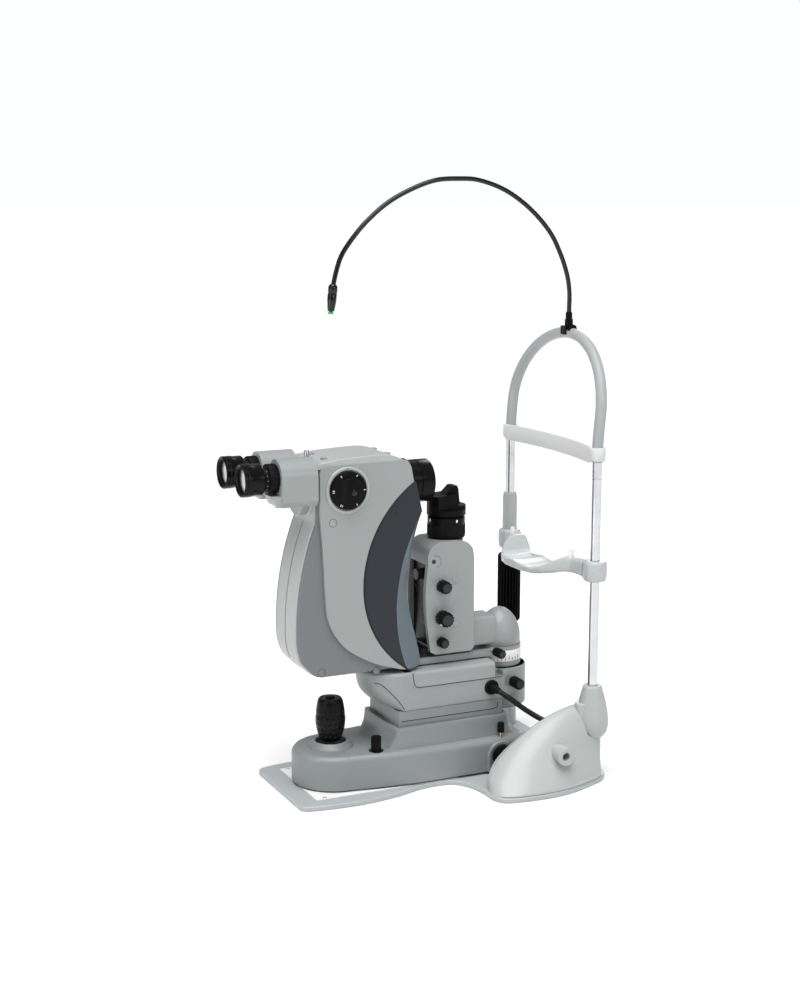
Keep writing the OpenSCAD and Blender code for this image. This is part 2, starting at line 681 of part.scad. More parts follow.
module pole_stand() difference() {
    stand_outline(0);
    bar_z(0, 0, pole_r + 0.03, 60, 120);
}
module pole_stands() color(light_grey) place() for (side = [-1, 1]) translate([0, side * pole_y, 0]) pole_stand();

pole_end = 420;
module poles() color(steel) place() for (side = [-1, 1]) difference() {
    bar_z(0, side * pole_y, pole_r, 60, pole_end);
    translate([0, side * pole_y, 380]) rotate_extrude($fn = 64) translate([pole_r, 0]) circle(r = 0.7, $fn = 16);
}

arch_low = 401;
arch_spring = 453;
function lean(z) = arch_lean * pow(max(z - arch_low, 0) / (arch_top - arch_low), 1.9);
arch_points = concat(
    [for (z = [arch_low, 415, 430.5, 442]) [0, -pole_y, z]],
    [for (a = [180:-10:0]) let (z = arch_spring + (arch_top - arch_spring) * sin(a)) [0, pole_y * cos(a), z]],
    [for (z = [442, 430.5, 415, arch_low]) [0, pole_y, z]]);
module head_arch() color(light_grey) place() difference() {
    sweep_tube([for (p = arch_points) [lean(p[2]), p[1], p[2]]], arch_d / 2, 16, [1, 0, 0]);
    for (side = [-1, 1]) bar_z(0, side * pole_y, pole_r + 0.05, arch_low - 5, pole_end + 0.3);
}

band_bow = 10;
module forehead_band() color(white) place() difference() {
    union() {
        translate([0, 0, 399]) linear_extrude(21) polygon(concat(
            [for (y = [-108:12:108]) [-7.2 + band_bow * (1 - pow(y / 108, 2)), y]],
            [for (y = [108:-12:-108]) [-10.2 + band_bow * (1 - pow(y / 108, 2)), y]]));
        for (side = [-1, 1]) bar_z(0, side * pole_y, 10, 402, 418);
    }
    for (side = [-1, 1]) bar_z(0, side * pole_y, arch_d / 2 + 0.9, 398, 422);
    translate([2, -130, 398]) cube([20, 14, 30]);
    translate([2, 116, 398]) cube([20, 14, 30]);
}

// Chin rest: plan of its front and back edge, and its height across the width
chin_front = smooth([[-13, -100], [-14, -86], [-24, -70], [-42, -56], [-53, -34], [-58, 0]], 4);
chin_back = smooth([[-6, 0], [-3, -40], [4, -70], [9, -86], [10, -100]], 4);
chin_upper = smooth([[-101, 12], [-86, 11.5], [-72, 13], [-58, 4], [-38, -4.5], [-18, -2], [0, 1]], 4);
chin_under = smooth([[0, -15], [-40, -15], [-70, -8], [-86, -9], [-101, -11]], 4);
module chin_rest() color(light_grey) place() difference() {
    union() {
        intersection() {
            translate([0, 0, chin_h - 30]) linear_extrude(60) polygon(concat(chin_front, [for (i = [len(chin_front) - 2:-1:0])
                [chin_front[i][0], -chin_front[i][1]]], mirrored(chin_back), chin_back));
            translate([-80, 0, chin_h]) rotate([90, 0, 90]) linear_extrude(120) polygon(concat(chin_upper,
                [for (i = [len(chin_upper) - 2:-1:0]) [-chin_upper[i][0], chin_upper[i][1]]],
                [for (i = [len(chin_under) - 1:-1:0]) [-chin_under[i][0], chin_under[i][1]]], chin_under));
        }
        bar_z(0, -pole_y, 15, chin_h - 13.5, chin_h + 13);
        bar_z(0, pole_y, 15, chin_h - 14, chin_h + 11);
        bar_z(0, pole_y, 9.6, chin_h + 10, chin_h + 62);
        for (side = [-1, 1]) bar_z(-14, side * 76, 3, chin_h + 8, chin_h + 22);
    }
    for (side = [-1, 1]) bar_z(0, side * pole_y, pole_r + 0.05, chin_h - 20, chin_h + 70);
}

module chin_knob() color(black) place() translate([0, pole_y, 0]) difference() {
    union() {
        bar_z(0, 0, 15.5, chin_h - 114, chin_h - 21);
        bar_z(0, 0, 10, chin_h - 124, chin_h - 14.4);
    }
    bar_z(0, 0, pole_r + 0.05, chin_h - 130, chin_h);
    for (i = [0:17]) rotate([0, 0, i * 20]) translate([15.6, 0, chin_h - 115]) cylinder(r = 1, h = 95, $fn = 14);
}

// ---------- fixation lamp ----------

clamp_z = arch_top;
clamp_x = arch_lean;
module lamp_clamp() color(black) place() difference() {
    union() {
        translate([clamp_x - 8.5, -6, clamp_z - 2]) cube([16, 12, 11]);
        bar_z(clamp_x, 0, 5.2, clamp_z + 8, clamp_z + 17);
    }
    bar_y(clamp_x, clamp_z, arch_d / 2 + 0.35, -8, 8);
    bar_z(clamp_x, 0, 3.05, clamp_z + 10, clamp_z + 18);
}

lamp_points = [[0, 11], [0, 30], [0, 51], [-4, 73], [-14.5, 100], [-30.5, 127], [-58.5, 155], [-92.5, 177],
               [-128, 189], [-155.5, 191], [-188.5, 189], [-221.5, 178], [-251.5, 162.5], [-277.5, 142],
               [-295.5, 123], [-310.5, 102.5], [-317.5, 84], [-321.5, 68]];
module fixation_arm() color(black) place() {
    sweep_tube([for (p = smooth(lamp_points, 2)) [clamp_x + p[0], 0, clamp_z + p[1]]], 3, 12, [0, 1, 0]);
    translate([clamp_x - 321.7, 0, clamp_z + 68]) rotate([0, 6, 0]) rotate([180, 0, 0])
        rotate_extrude($fn = 40) polygon([[0, 0], [4.5, 0], [5.6, 3], [5.6, 20], [4.2, 30], [3.2, 34], [0, 34]]);
}

base_plate();
slide_sheet();
rail_cover_right();
rail_cover_left();
side_sockets();
racks();
pole_stands();
poles();
head_arch();
forehead_band();
lamp_clamp();
wheel_guides();
axle();
drive_wheels();
base_housing();
base_floor();
column_skirt();
axle_boots();
base_lock_knob();
transport_pin();
gimbal_ring();
joystick_shaft();
joystick_grip();
fire_button();
lift_screw();
column();
arm_housing();
arm_cover();
pivot_shaft();
cable_gland();
cable();
arm_lock_knob();
swing_lock_knob();
microscope_arm();
body_casing();
rear_cover();
side_panels();
side_shells();
objective_barrel();
objective_lens();
laser_module();
binocular_mount();
magnification_changer();
prism_housing_right();
prism_housing_left();
eyepiece_right();
eyepiece_left();
eye_lens_right();
eye_lens_left();
illumination_arm();
tower_housing();
lamp_module();
tower_knob();
tower_lever();
filter_knob();
aperture_knob();
slit_knob();
chin_rest();
chin_knob();
fixation_arm();
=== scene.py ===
import json
import math

import bmesh
import bpy
from mathutils import Matrix, Vector

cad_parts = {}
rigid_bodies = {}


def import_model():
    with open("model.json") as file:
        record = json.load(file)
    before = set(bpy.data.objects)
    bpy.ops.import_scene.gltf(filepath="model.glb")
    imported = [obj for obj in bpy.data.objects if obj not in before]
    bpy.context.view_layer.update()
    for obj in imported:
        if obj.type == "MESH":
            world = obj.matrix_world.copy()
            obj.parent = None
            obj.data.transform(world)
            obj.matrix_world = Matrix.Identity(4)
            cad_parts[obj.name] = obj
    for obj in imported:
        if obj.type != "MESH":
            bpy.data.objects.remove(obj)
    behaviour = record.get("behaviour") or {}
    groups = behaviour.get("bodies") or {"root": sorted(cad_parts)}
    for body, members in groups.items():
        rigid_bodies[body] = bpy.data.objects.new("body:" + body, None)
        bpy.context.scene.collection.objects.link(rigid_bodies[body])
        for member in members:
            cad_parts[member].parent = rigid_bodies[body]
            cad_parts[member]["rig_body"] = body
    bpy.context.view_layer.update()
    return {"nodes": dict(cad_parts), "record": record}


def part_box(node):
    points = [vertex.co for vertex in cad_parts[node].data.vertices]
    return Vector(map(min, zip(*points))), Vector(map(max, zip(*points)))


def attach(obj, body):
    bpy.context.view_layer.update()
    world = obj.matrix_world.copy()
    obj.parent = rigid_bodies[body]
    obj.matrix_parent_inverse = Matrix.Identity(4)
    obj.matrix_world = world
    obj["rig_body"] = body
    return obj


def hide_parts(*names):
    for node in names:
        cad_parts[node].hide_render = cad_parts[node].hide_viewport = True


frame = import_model()
nodes = frame["nodes"]
slot_of = {part["node"]: part["material_slot"] for part in frame["record"]["subparts"]}

# ---------------------------------------------------------------- driving sizes, in millimetres
# Shapes are written in millimetres from the pole plane, the middle plane and the table, and at()
# turns them into the row frame's metres.


def box_mm(node):
    """The CAD node's lowest and highest corner in millimetres, with X from the pole plane."""
    low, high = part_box(node)
    return [(p.x * 1000 - POLE_X, p.y * 1000, p.z * 1000) for p in (low, high)]


pole_low, pole_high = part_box("poles")
POLE_X = (pole_low.x + pole_high.x) * 500
POLE_R = (pole_high.x - pole_low.x) * 500
POLE_Y = pole_high.y * 1000 - POLE_R
PLATE_Z = box_mm("base_plate")[1][2]
BASE_TOP = box_mm("column_skirt")[0][2]
BASE_LOW = box_mm("base_housing")[0][2]
ARM_LOW = box_mm("column")[1][2]
ARM_TOP = box_mm("arm_housing")[1][2]
ARM_HW = box_mm("arm_cover")[1][1]
PIVOT_X = (box_mm("pivot_shaft")[0][0] + box_mm("pivot_shaft")[1][0]) / 2
BODY_HW = box_mm("side_shells")[1][1]
CORE_HW = box_mm("body_casing")[1][1]
AXIS_Z = (box_mm("objective_barrel")[0][2] + box_mm("objective_barrel")[1][2]) / 2
OBJ_R = (box_mm("objective_barrel")[1][2] - box_mm("objective_barrel")[0][2]) / 2
EYE_Z = (box_mm("eyepiece_right")[0][2] + box_mm("eyepiece_right")[1][2]) / 2
EYE_Y = (box_mm("eyepiece_left")[0][1] + box_mm("eyepiece_left")[1][1]) / 2
CUP_R = (box_mm("eyepiece_left")[1][1] - box_mm("eyepiece_left")[0][1]) / 2
TOWER_HW = box_mm("tower_housing")[1][1]
TOWER_X0, TOWER_X1 = box_mm("tower_housing")[0][0], box_mm("tower_housing")[1][0]
TOWER_TOP = box_mm("tower_housing")[1][2]
KNOB_X = (box_mm("tower_knob")[0][0] + box_mm("tower_knob")[1][0]) / 2
KNOB_R = (box_mm("tower_knob")[1][0] - box_mm("tower_knob")[0][0]) / 2
JOY_X = (box_mm("fire_button")[0][0] + box_mm("fire_button")[1][0]) / 2
CHIN_Z = box_mm("chin_rest")[1][2] - 62
CLAMP_X = (box_mm("lamp_clamp")[0][0] + box_mm("lamp_clamp")[1][0]) / 2 + 0.5
ARCH_TOP = box_mm("lamp_clamp")[0][2] + 2


def at(p):
    """A point in the row frame, in metres."""
    return Vector(((p[0] + POLE_X) / 1000, p[1] / 1000, p[2] / 1000))


# ---------------------------------------------------------------- camera

CAMERA_SIDE = Vector((-0.48, -0.85, 0.19)).normalized()

def add_camera():
    data = bpy.data.cameras.new("camera")
    data.lens = 62.06
    data.clip_end = 50
    camera = bpy.data.objects.new("camera", data)
    bpy.context.scene.collection.objects.link(camera)
    camera.location = at((-1089.4, -1886.1, 738.8))
    camera.rotation_euler = (math.radians(90 - 10.555), 0, math.radians(-24.914))
    bpy.context.scene.camera = camera


add_camera()

# ---------------------------------------------------------------- materials


class Graph:
    """A short way to build a shader graph."""

    def __init__(self, name):
        self.material = bpy.data.materials.new(name)
        self.material.use_nodes = True
        self.tree = self.material.node_tree
        self.shader = self.tree.nodes["Principled BSDF"]
        self.place = self.add("ShaderNodeTexCoord").outputs["Object"]

    def add(self, kind, **values):
        node = self.tree.nodes.new(kind)
        for key, value in values.items():
            setattr(node, key, value)
        return node

    def link(self, source, target):
        self.tree.links.new(source, target)

    def noise(self, scale, detail=3.0, rough=0.5, stretch=None):
        node = self.add("ShaderNodeTexNoise")
        node.inputs["Scale"].default_value = scale
        node.inputs["Detail"].default_value = detail
        node.inputs["Roughness"].default_value = rough
        source = self.place
        if stretch:
            mapping = self.add("ShaderNodeMapping")
            mapping.inputs["Scale"].default_value = stretch
            self.link(source, mapping.inputs["Vector"])
            source = mapping.outputs["Vector"]
        self.link(source, node.inputs["Vector"])
        return node.outputs["Fac"]

    def ramp(self, fac, low, high, a, b):
        """Maps fac from low..high to a..b."""
        node = self.add("ShaderNodeMapRange")
        for key, value in (("From Min", low), ("From Max", high), ("To Min", a), ("To Max", b)):
            node.inputs[key].default_value = value
        self.link(fac, node.inputs["Value"])
        return node.outputs["Result"]

    def mix(self, fac, a, b):
        """A colour between a and b, which are colours or sockets."""
        node = self.add("ShaderNodeMix", data_type="RGBA")
        self.link(fac, node.inputs["Factor"])
        for value, socket in ((a, node.inputs[6]), (b, node.inputs[7])):
            if isinstance(value, tuple):
                socket.default_value = (*value, 1)
            else:
                self.link(value, socket)
        return node.outputs[2]

    def bump(self, height, strength, distance):
        node = self.add("ShaderNodeBump")
        node.inputs["Strength"].default_value = strength
        node.inputs["Distance"].default_value = distance
        self.link(height, node.inputs["Height"])
        self.link(node.outputs["Normal"], self.shader.inputs["Normal"])


def scaled(colour, k):
    return tuple(min(1.0, c * k) for c in colour)


def finish_surface(name, colour, rough, metallic=0.0, grain=1400, bump=0.12, mottle=0.05, coat=0.0, wear=0.25,
                   gloss=0.5):
    """Paint, plastic or metal: mottled colour, uneven gloss, a fine grain and rubbed edges."""
    g = Graph(name)
    cloud = g.noise(9, 4)
    fine = g.noise(grain, 2)
    smear = g.noise(38, 5, 0.65)
    base = g.mix(cloud, scaled(colour, 1 - mottle), scaled(colour, 1 + mottle))
    edge = g.ramp(g.add("ShaderNodeNewGeometry").outputs["Pointiness"], 0.51, 0.60, 0.0, wear)
    g.link(g.mix(edge, base, scaled(colour, 1.35)), g.shader.inputs["Base Color"])
    g.link(g.ramp(smear, 0.3, 0.7, rough * 0.82, rough * 1.2), g.shader.inputs["Roughness"])
    g.shader.inputs["Metallic"].default_value = metallic
    g.shader.inputs["Specular IOR Level"].default_value = gloss
    g.shader.inputs["Coat Weight"].default_value = coat
    g.shader.inputs["Coat Roughness"].default_value = 0.12
    g.bump(fine, bump, 0.0001)
    return g.material


def brushed(name, colour, rough, stretch):
    """Metal with fine tool marks along one direction."""
    g = Graph(name)
    marks = g.noise(900, 3, 0.6, stretch)
    g.link(g.mix(marks, scaled(colour, 0.86), scaled(colour, 1.08)), g.shader.inputs["Base Color"])
    g.link(g.ramp(marks, 0.3, 0.7, rough * 0.7, rough * 1.35), g.shader.inputs["Roughness"])
    g.shader.inputs["Metallic"].default_value = 1.0
    g.bump(marks, 0.08, 0.00005)
    return g.material


def polished(name, colour):
    """Polished metal with faint smudges and a fine grain."""
    g = Graph(name)
    smudge = g.ramp(g.noise(60, 4), 0.3, 0.7, 0.0, 1.0)
    g.link(g.mix(smudge, colour, scaled(colour, 0.86)), g.shader.inputs["Base Color"])
    g.link(g.ramp(g.noise(60, 4), 0.3, 0.7, 0.05, 0.10), g.shader.inputs["Roughness"])
    g.shader.inputs["Metallic"].default_value = 1.0
    g.bump(g.noise(1500, 2), 0.04, 0.00005)
    return g.material


def lens(name):
    """Coated glass with a faint purple sheen and a few specks of dust."""
    g = Graph(name)
    g.shader.inputs["Base Color"].default_value = (0.62, 0.68, 0.86, 1)
    g.shader.inputs["Transmission Weight"].default_value = 0.82
    g.shader.inputs["IOR"].default_value = 1.52
    g.shader.inputs["Coat Weight"].default_value = 1.0
    g.shader.inputs["Coat Tint"].default_value = (0.55, 0.5, 1.0, 1)
    g.link(g.ramp(g.noise(900, 2), 0.62, 0.75, 0.03, 0.35), g.shader.inputs["Roughness"])
    return g.material


LOOKS = {
    "plate_paint": finish_surface("plate_paint", (0.37, 0.39, 0.40), 0.36, coat=0.15),
    "slide_white": finish_surface("slide_white", (0.72, 0.72, 0.71), 0.42, mottle=0.03),
    "light_paint": finish_surface("light_paint", (0.375, 0.391, 0.386), 0.40, coat=0.12, bump=0.16),
    "grey_paint": finish_surface("grey_paint", (0.27, 0.288, 0.286), 0.40, coat=0.12, bump=0.16),
    "panel_paint": finish_surface("panel_paint", (0.29, 0.306, 0.304), 0.36, metallic=0.08, coat=0.15),
    "slate_paint": finish_surface("slate_paint", (0.016, 0.021, 0.026), 0.36, metallic=0.15, gloss=0.35),
    "chin_white": finish_surface("chin_white", (0.43, 0.455, 0.455), 0.30, coat=0.3, bump=0.05),
    "white_silicone": finish_surface("white_silicone", (0.60, 0.61, 0.60), 0.55, bump=0.2),
    "arch_foam": finish_surface("arch_foam", (0.35, 0.37, 0.375), 0.46, bump=0.2),
    "steel": brushed("steel", (0.62, 0.63, 0.65), 0.28, (1, 1, 14)),
    "chrome": polished("chrome", (0.66, 0.67, 0.69)),
    "black_plastic": finish_surface("black_plastic", (0.0035, 0.0035, 0.004), 0.38, bump=0.25, wear=0.5, gloss=0.09),
    "black_gloss": finish_surface("black_gloss", (0.004, 0.004, 0.004), 0.16, bump=0.03, wear=0.3, gloss=0.4),
    "black_rubber": finish_surface("black_rubber", (0.0035, 0.0035, 0.0035), 0.46, bump=0.35, grain=2200, wear=0.5,
                                   gloss=0.09),
    "black_metal": finish_surface("black_metal", (0.004, 0.004, 0.0045), 0.26, wear=0.5, gloss=0.12),
    "dark_metal": finish_surface("dark_metal", (0.03, 0.031, 0.034), 0.38, metallic=0.6),
    "cable_black": finish_surface("cable_black", (0.006, 0.006, 0.0065), 0.36, bump=0.2, grain=1800, gloss=0.18),
    "lens_glass": lens("lens_glass"),
}
EXTRA = {
    "lens_bright": finish_surface("lens_bright", (0.46, 0.48, 0.50), 0.12, mottle=0.02, coat=1.0, bump=0.0),
    "seam": finish_surface("seam", (0.012, 0.013, 0.014), 0.7, wear=0.0),
    "mark_white": finish_surface("mark_white", (0.80, 0.80, 0.78), 0.5, mottle=0.03, wear=0.0),
    "mark_grey": finish_surface("mark_grey", (0.20, 0.21, 0.22), 0.5, wear=0.0),
    "tip_green": finish_surface("tip_green", (0.03, 0.42, 0.12), 0.3, coat=0.4),
    # painted shade: the casing paint darkened for the side recess and the caps set in it
    "cover_grey": finish_surface("cover_grey", (0.15, 0.162, 0.166), 0.42),
    "casing_paint": finish_surface("casing_paint", (0.385, 0.40, 0.396), 0.38, coat=0.12, bump=0.16),
    "base_paint": finish_surface("base_paint", (0.21, 0.226, 0.226), 0.40, coat=0.12, bump=0.16),
    "knob_grey": finish_surface("knob_grey", (0.022, 0.023, 0.025), 0.42, wear=0.2, gloss=0.3),
    "grip_black": finish_surface("grip_black", (0.0035, 0.0035, 0.0035), 0.30, bump=0.05, wear=0.4, gloss=0.16),
    "cup_black": finish_surface("cup_black", (0.0035, 0.0035, 0.0035), 0.24, bump=0.03, wear=0.0, gloss=0.14),
    "bevel_grey": finish_surface("bevel_grey", (0.105, 0.135, 0.158), 0.33, metallic=0.15),
}
for name, node in nodes.items():
    node.data.materials.clear()
    node.data.materials.append(LOOKS[slot_of[name]])

# ---------------------------------------------------------------- mesh helpers


def piece(name, points, faces, body, look, replaces=(), sharp=32):
    """A mesh from points in millimetres, riding on a body, in place of the named CAD nodes."""
    mesh = bpy.data.meshes.new(name)
    mesh.from_pydata([at(p) for p in points], [], faces)
    tidy_normals(mesh)
    return dress(mesh, name, body, look, replaces, sharp)


def tidy_normals(mesh):
    bm = bmesh.new()
    bm.from_mesh(mesh)
    bmesh.ops.remove_doubles(bm, verts=bm.verts, dist=1e-6)
    bmesh.ops.recalc_face_normals(bm, faces=bm.faces)
    bm.to_mesh(mesh)
    bm.free()


def dress(mesh, name, body, look, replaces=(), sharp=32):
    """Makes the object, gives it its material and shading and lets it ride on its body."""
    obj = bpy.data.objects.new(name, mesh)
    bpy.context.scene.collection.objects.link(obj)
    mesh.materials.clear()
    mesh.materials.append(LOOKS.get(look) or EXTRA[look])
    mesh.shade_smooth()
    mesh.set_sharp_from_angle(angle=math.radians(sharp))
    if body:
        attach(obj, body)
    if replaces:
        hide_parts(*replaces)
    return obj


def soften(obj, width, segments=3, angle=35):
    """Rounds the object's sharp edges by width millimetres."""
    bevel = obj.modifiers.new("edges", "BEVEL")
    bevel.width = width / 1000
    bevel.segments = segments
    bevel.limit_method = "ANGLE"
    bevel.angle_limit = math.radians(angle)
    bevel.harden_normals = True
    return obj


def apply_modifiers(obj):
    graph = bpy.context.evaluated_depsgraph_get()
    mesh = bpy.data.meshes.new_from_object(obj.evaluated_get(graph))
    obj.modifiers.clear()
    obj.data = mesh
    return obj


def carve(obj, cutters):
    """Cuts each cutter out of obj and removes it."""
    for cutter in cutters:
        cut = obj.modifiers.new("cut", "BOOLEAN")
        cut.operation = "DIFFERENCE"
        cut.solver = "EXACT"
        cut.object = cutter
    apply_modifiers(obj)
    for cutter in cutters:
        bpy.data.objects.remove(cutter)
    obj.data.shade_smooth()
    obj.data.set_sharp_from_angle(angle=math.radians(32))
    return obj


def refine(node, width, segments=2, look=None, sharp=32, angle=35):
    """A CAD node's own shape with its flat faces cleaned and its edges rounded."""
    mesh = nodes[node].data.copy()
    bm = bmesh.new()
    bm.from_mesh(mesh)
    bmesh.ops.remove_doubles(bm, verts=bm.verts, dist=2e-6)
    bmesh.ops.dissolve_limit(bm, angle_limit=math.radians(1.5), verts=bm.verts, edges=bm.edges)
    bm.to_mesh(mesh)
    bm.free()
    body = nodes[node]["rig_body"]
    obj = dress(mesh, node + "_shape", body, look or slot_of[node], [node], sharp)
    return soften(obj, width, segments, angle) if width else obj


def rings_to_mesh(rings, closed=True, caps=True):
    """Points and faces that join a row of rings with the same number of points."""
    count = len(rings[0])
    points = [p for ring in rings for p in ring]
    steps = range(count) if closed else range(count - 1)
    faces = []
    for j in range(len(rings) - 1):
        for i in steps:
            k = (i + 1) % count
            faces.append((j * count + i, (j + 1) * count + i, (j + 1) * count + k, j * count + k))
    if caps:
        faces.append(tuple(range(count)))
        faces.append(tuple((len(rings) - 1) * count + i for i in reversed(range(count))))
    return points, faces


def arc(cx, cy, r, a0, a1, n=12):
    """Points along a circular arc, angles in degrees."""
    angles = [math.radians(a0 + (a1 - a0) * i / n) for i in range(n + 1)]
    return [(cx + r * math.cos(a), cy + r * math.sin(a)) for a in angles]


def smooth(points, n=5):
    """A smooth open curve through the points, with n steps between neighbours."""
    out = []
    last = len(points) - 1
    for i in range(last):
        a, b = points[max(i - 1, 0)], points[i]
        c, d = points[i + 1], points[min(i + 2, last)]
        for k in range(n + (i == last - 1)):
            t = k / n
            out.append(tuple(
                0.5 * (2 * q + (r - p) * t + (2 * p - 5 * q + 4 * r - s) * t * t
                       + (3 * q - p - 3 * r + s) * t ** 3)
                for p, q, r, s in zip(a, b, c, d)))
    return out


AXES = {"x": ((0, 1, 0), (0, 0, 1), (1, 0, 0)), "y": ((0, 0, 1), (1, 0, 0), (0, 1, 0)),
        "z": ((1, 0, 0), (0, 1, 0), (0, 0, 1))}


def lathe(name, profile, centre, axis, body, look, replaces=(), steps=64, sharp=32, ripple=None):
    """A turned piece. profile holds (radius, distance along axis), ripple(angle, radius) may change radii."""
    u, v, w = (Vector(a) for a in AXES[axis])
    rings = []
    for r, h in profile:
        ring = []
        for i in range(steps):
            a = 2 * math.pi * i / steps
            radius = max(ripple(a, r, h) if ripple else r, 0.001)
            ring.append(tuple(Vector(centre) + u * radius * math.cos(a) + v * radius * math.sin(a) + w * h))
        rings.append(ring)
    points, faces = rings_to_mesh(rings)
    return piece(name, points, faces, body, look, replaces, sharp)


def slab(name, outline, low, high, axis, body, look, replaces=(), sharp=32):
    """An outline extruded from low to high along an axis. For y the outline is (x, z), for x it is (y, z)."""
    order = {"z": lambda a, b, h: (a, b, h), "y": lambda a, b, h: (a, h, b), "x": lambda a, b, h: (h, a, b)}[axis]
    rings = [[order(a, b, h) for a, b in outline] for h in (low, high)]
    points, faces = rings_to_mesh(rings)
    return piece(name, points, faces, body, look, replaces, sharp)


def tube(name, path, radius, body, look, replaces=(), up=(0, 0, 1), sides=24, sharp=60):
    """A round tube along path. radius is a number or a function of the share of the way."""
    path = [Vector(p) for p in path]
    rings = []
    last = len(path) - 1
    for i, p in enumerate(path):
        along = (path[min(i + 1, last)] - path[max(i - 1, 0)]).normalized()
        w = Vector(up).cross(along).normalized()
        u = w.cross(along)
        r = radius(i / last) if callable(radius) else radius
        rings.append([tuple(p + (u * math.cos(a) + w * math.sin(a)) * r)
                      for a in (2 * math.pi * k / sides for k in range(sides))])
    points, faces = rings_to_mesh(rings)
    return piece(name, points, faces, body, look, replaces, sharp)


def block(name, low, high, body, look, replaces=(), width=0.0):
    """A box between two corners, with rounded edges."""
    outline = [(low[0], low[1]), (high[0], low[1]), (high[0], high[1]), (low[0], high[1])]
    obj = slab(name, outline, low[2], high[2], "z", body, look, replaces)
    return soften(obj, width) if width else obj


def cutter_block(low, high):
    return block("cutter", low, high, None, "seam")


def cutter_bar(centre, axis, r, length, steps=48):
    return lathe("cutter", [(r, 0), (r, length)], centre, axis, None, "seam", steps=steps)


def sides():
    return (("right", -1), ("left", 1))


def groove(name, path, body, up=(0, 1, 0), radius=0.45, look="seam"):
    """A thin dark line that reads as the gap between two panels; along the rail covers' ridge it is painted crease
    shade.
    """
    return tube(name, path, radius, body, look, up=up, sides=8)


def screw(name, centre, axis, body, r=3.0, look="steel", sink=1):
    """A countersunk screw head whose top lies at centre and faces along sink times the axis."""
    head = [(r * 1.12, -1.2), (r * 1.12, 0.02), (r, 0.25), (r * 0.55, 0.3), (r * 0.5, -0.5), (0, -0.5)]
    return lathe(name, [(a, h * sink) for a, h in head], centre, axis, body, look, steps=24)


def ribs(count, depth, sharpness=1.0):
    """A ripple for lathe(): count ribs of the given depth."""
    def ripple(angle, r, h):
        wave = 0.5 + 0.5 * math.cos(count * angle)
        return r - depth * (1 - wave ** sharpness)
    return ripple


def mirrored(points):
    return [(x, -y) for x, y in reversed(points)]

# ---------------------------------------------------------------- cable, which comes first

CABLE_R = 3.4
CABLE_ROUTE = [(-108, -41, 112), (-108, -48, 112), (-107, -53, 111.5), (-104, -59, 109.5), (-99, -65, 105.5),
               (-92, -71, 100), (-84, -77, 93), (-75, -84, 86), (-67, -91, 80.5), (-61, -98, 77),
               (-59, -105, 75.5), (-59, -111, 75)]


def cable():
    path = smooth(CABLE_ROUTE, 6)
    obj = tube("cable_run", path, CABLE_R, "lift_unit", "cable_black", ["cable"], sides=20)


cable()

# ---------------------------------------------------------------- base plate and rail covers

COVER_TOP = box_mm("rail_cover_right")[1][2]
AXLE_X = (box_mm("axle")[0][0] + box_mm("axle")[1][0]) / 2
AXLE_Z = (box_mm("axle")[0][2] + box_mm("axle")[1][2]) / 2
SOCKET_X, SOCKET_Z = -61, 47
# X, outer foot, inner foot and ridge height of the right cover's stations
COVER_LINE = [(-151, -136, -128, 8), (-146, -147, -111, 20), (-136, -153, -102, 33), (-122, -156.5, -99, 47),
              (-104, -158.5, -99, 61), (-82, -158.5, -99, 75), (-58, -156, -99, 86), (-32, -148, -99, 93),
              (-10, -139, -99, COVER_TOP), (3, -131, -99, COVER_TOP)]


def cover_ring(station, wall):
    """A rail cover's section at one station, its wall taken off for the inside."""
    x, outer, inner, top = station
    outer, inner, top = outer + wall, inner - wall, top - wall
    low = PLATE_Z - 1 if wall else PLATE_Z
    wide, tall = inner - outer, top - PLATE_Z
    wall_side = [(0, 0.03), (0, 0.84), (0.03, 0.95), (0.12, 1.0)]
    slope = [(0.12, 1.0), (0.27, 0.945), (0.42, 0.84), (0.57, 0.68), (0.74, 0.44), (0.90, 0.2), (0.99, 0.06)]
    curve = [(inner - a * wide, PLATE_Z + b * tall) for a, b in smooth(wall_side, 4) + smooth(slope, 4)[1:]]
    return [(x, y, z) for y, z in [(inner, low)] + curve + [(outer, low)]]


def rail_cover(side, sign):
    stations = smooth(COVER_LINE, 4)
    flip = lambda rings: [[(x, -y * sign, z) for x, y, z in ring] for ring in rings]
    skin = rings_to_mesh(flip([cover_ring(s, 0) for s in stations]))
    hollow = rings_to_mesh(flip([cover_ring(s, 2.5) for s in stations[9:-1]]))
    obj = piece(f"rail_cover_{side}_skin", *skin, "stand", "light_paint", [f"rail_cover_{side}"], 40)
    cutters = [piece("cutter", *hollow, None, "seam"),
               cutter_block((AXLE_X - 18, min(sign * 94, sign * 107), AXLE_Z - 9),
                            (AXLE_X + 52, max(sign * 94, sign * 107), AXLE_Z + 9)),
               lathe("cutter", [(11.8, PLATE_Z - 2), (11.8, 52), (20.9, 60), (20.9, 84), (16, 104), (16, 120)],
                     (0, sign * POLE_Y, 0), "z", None, "seam"),
               cutter_bar((SOCKET_X, min(sign * 130, sign * 170), SOCKET_Z), "y", 11.6, 40)]
    if side == "right":
        cutters.append(cutter_bar((-60, -106, 76.5), "y", 5.4, 14))
    carve(obj, cutters)
    # a grey line along the ridge: painted shade of the crease between the top and the outer face
    ridge = [(x, sign * (0.12 * (inner - outer) - inner), top + 0.1) for x, outer, inner, top in stations[8:-6]]
    groove(f"rail_cover_{side}_ridge_crease_shade", ridge, "stand", (0, 1, 0), 0.35, "mark_grey")
    foot = [(x, -sign * outer, PLATE_Z + 1) for x, outer, inner, top in stations[4:]]
    groove(f"rail_cover_{side}_foot_seam", foot, "stand", (0, 0, 1), 0.35, "mark_grey")


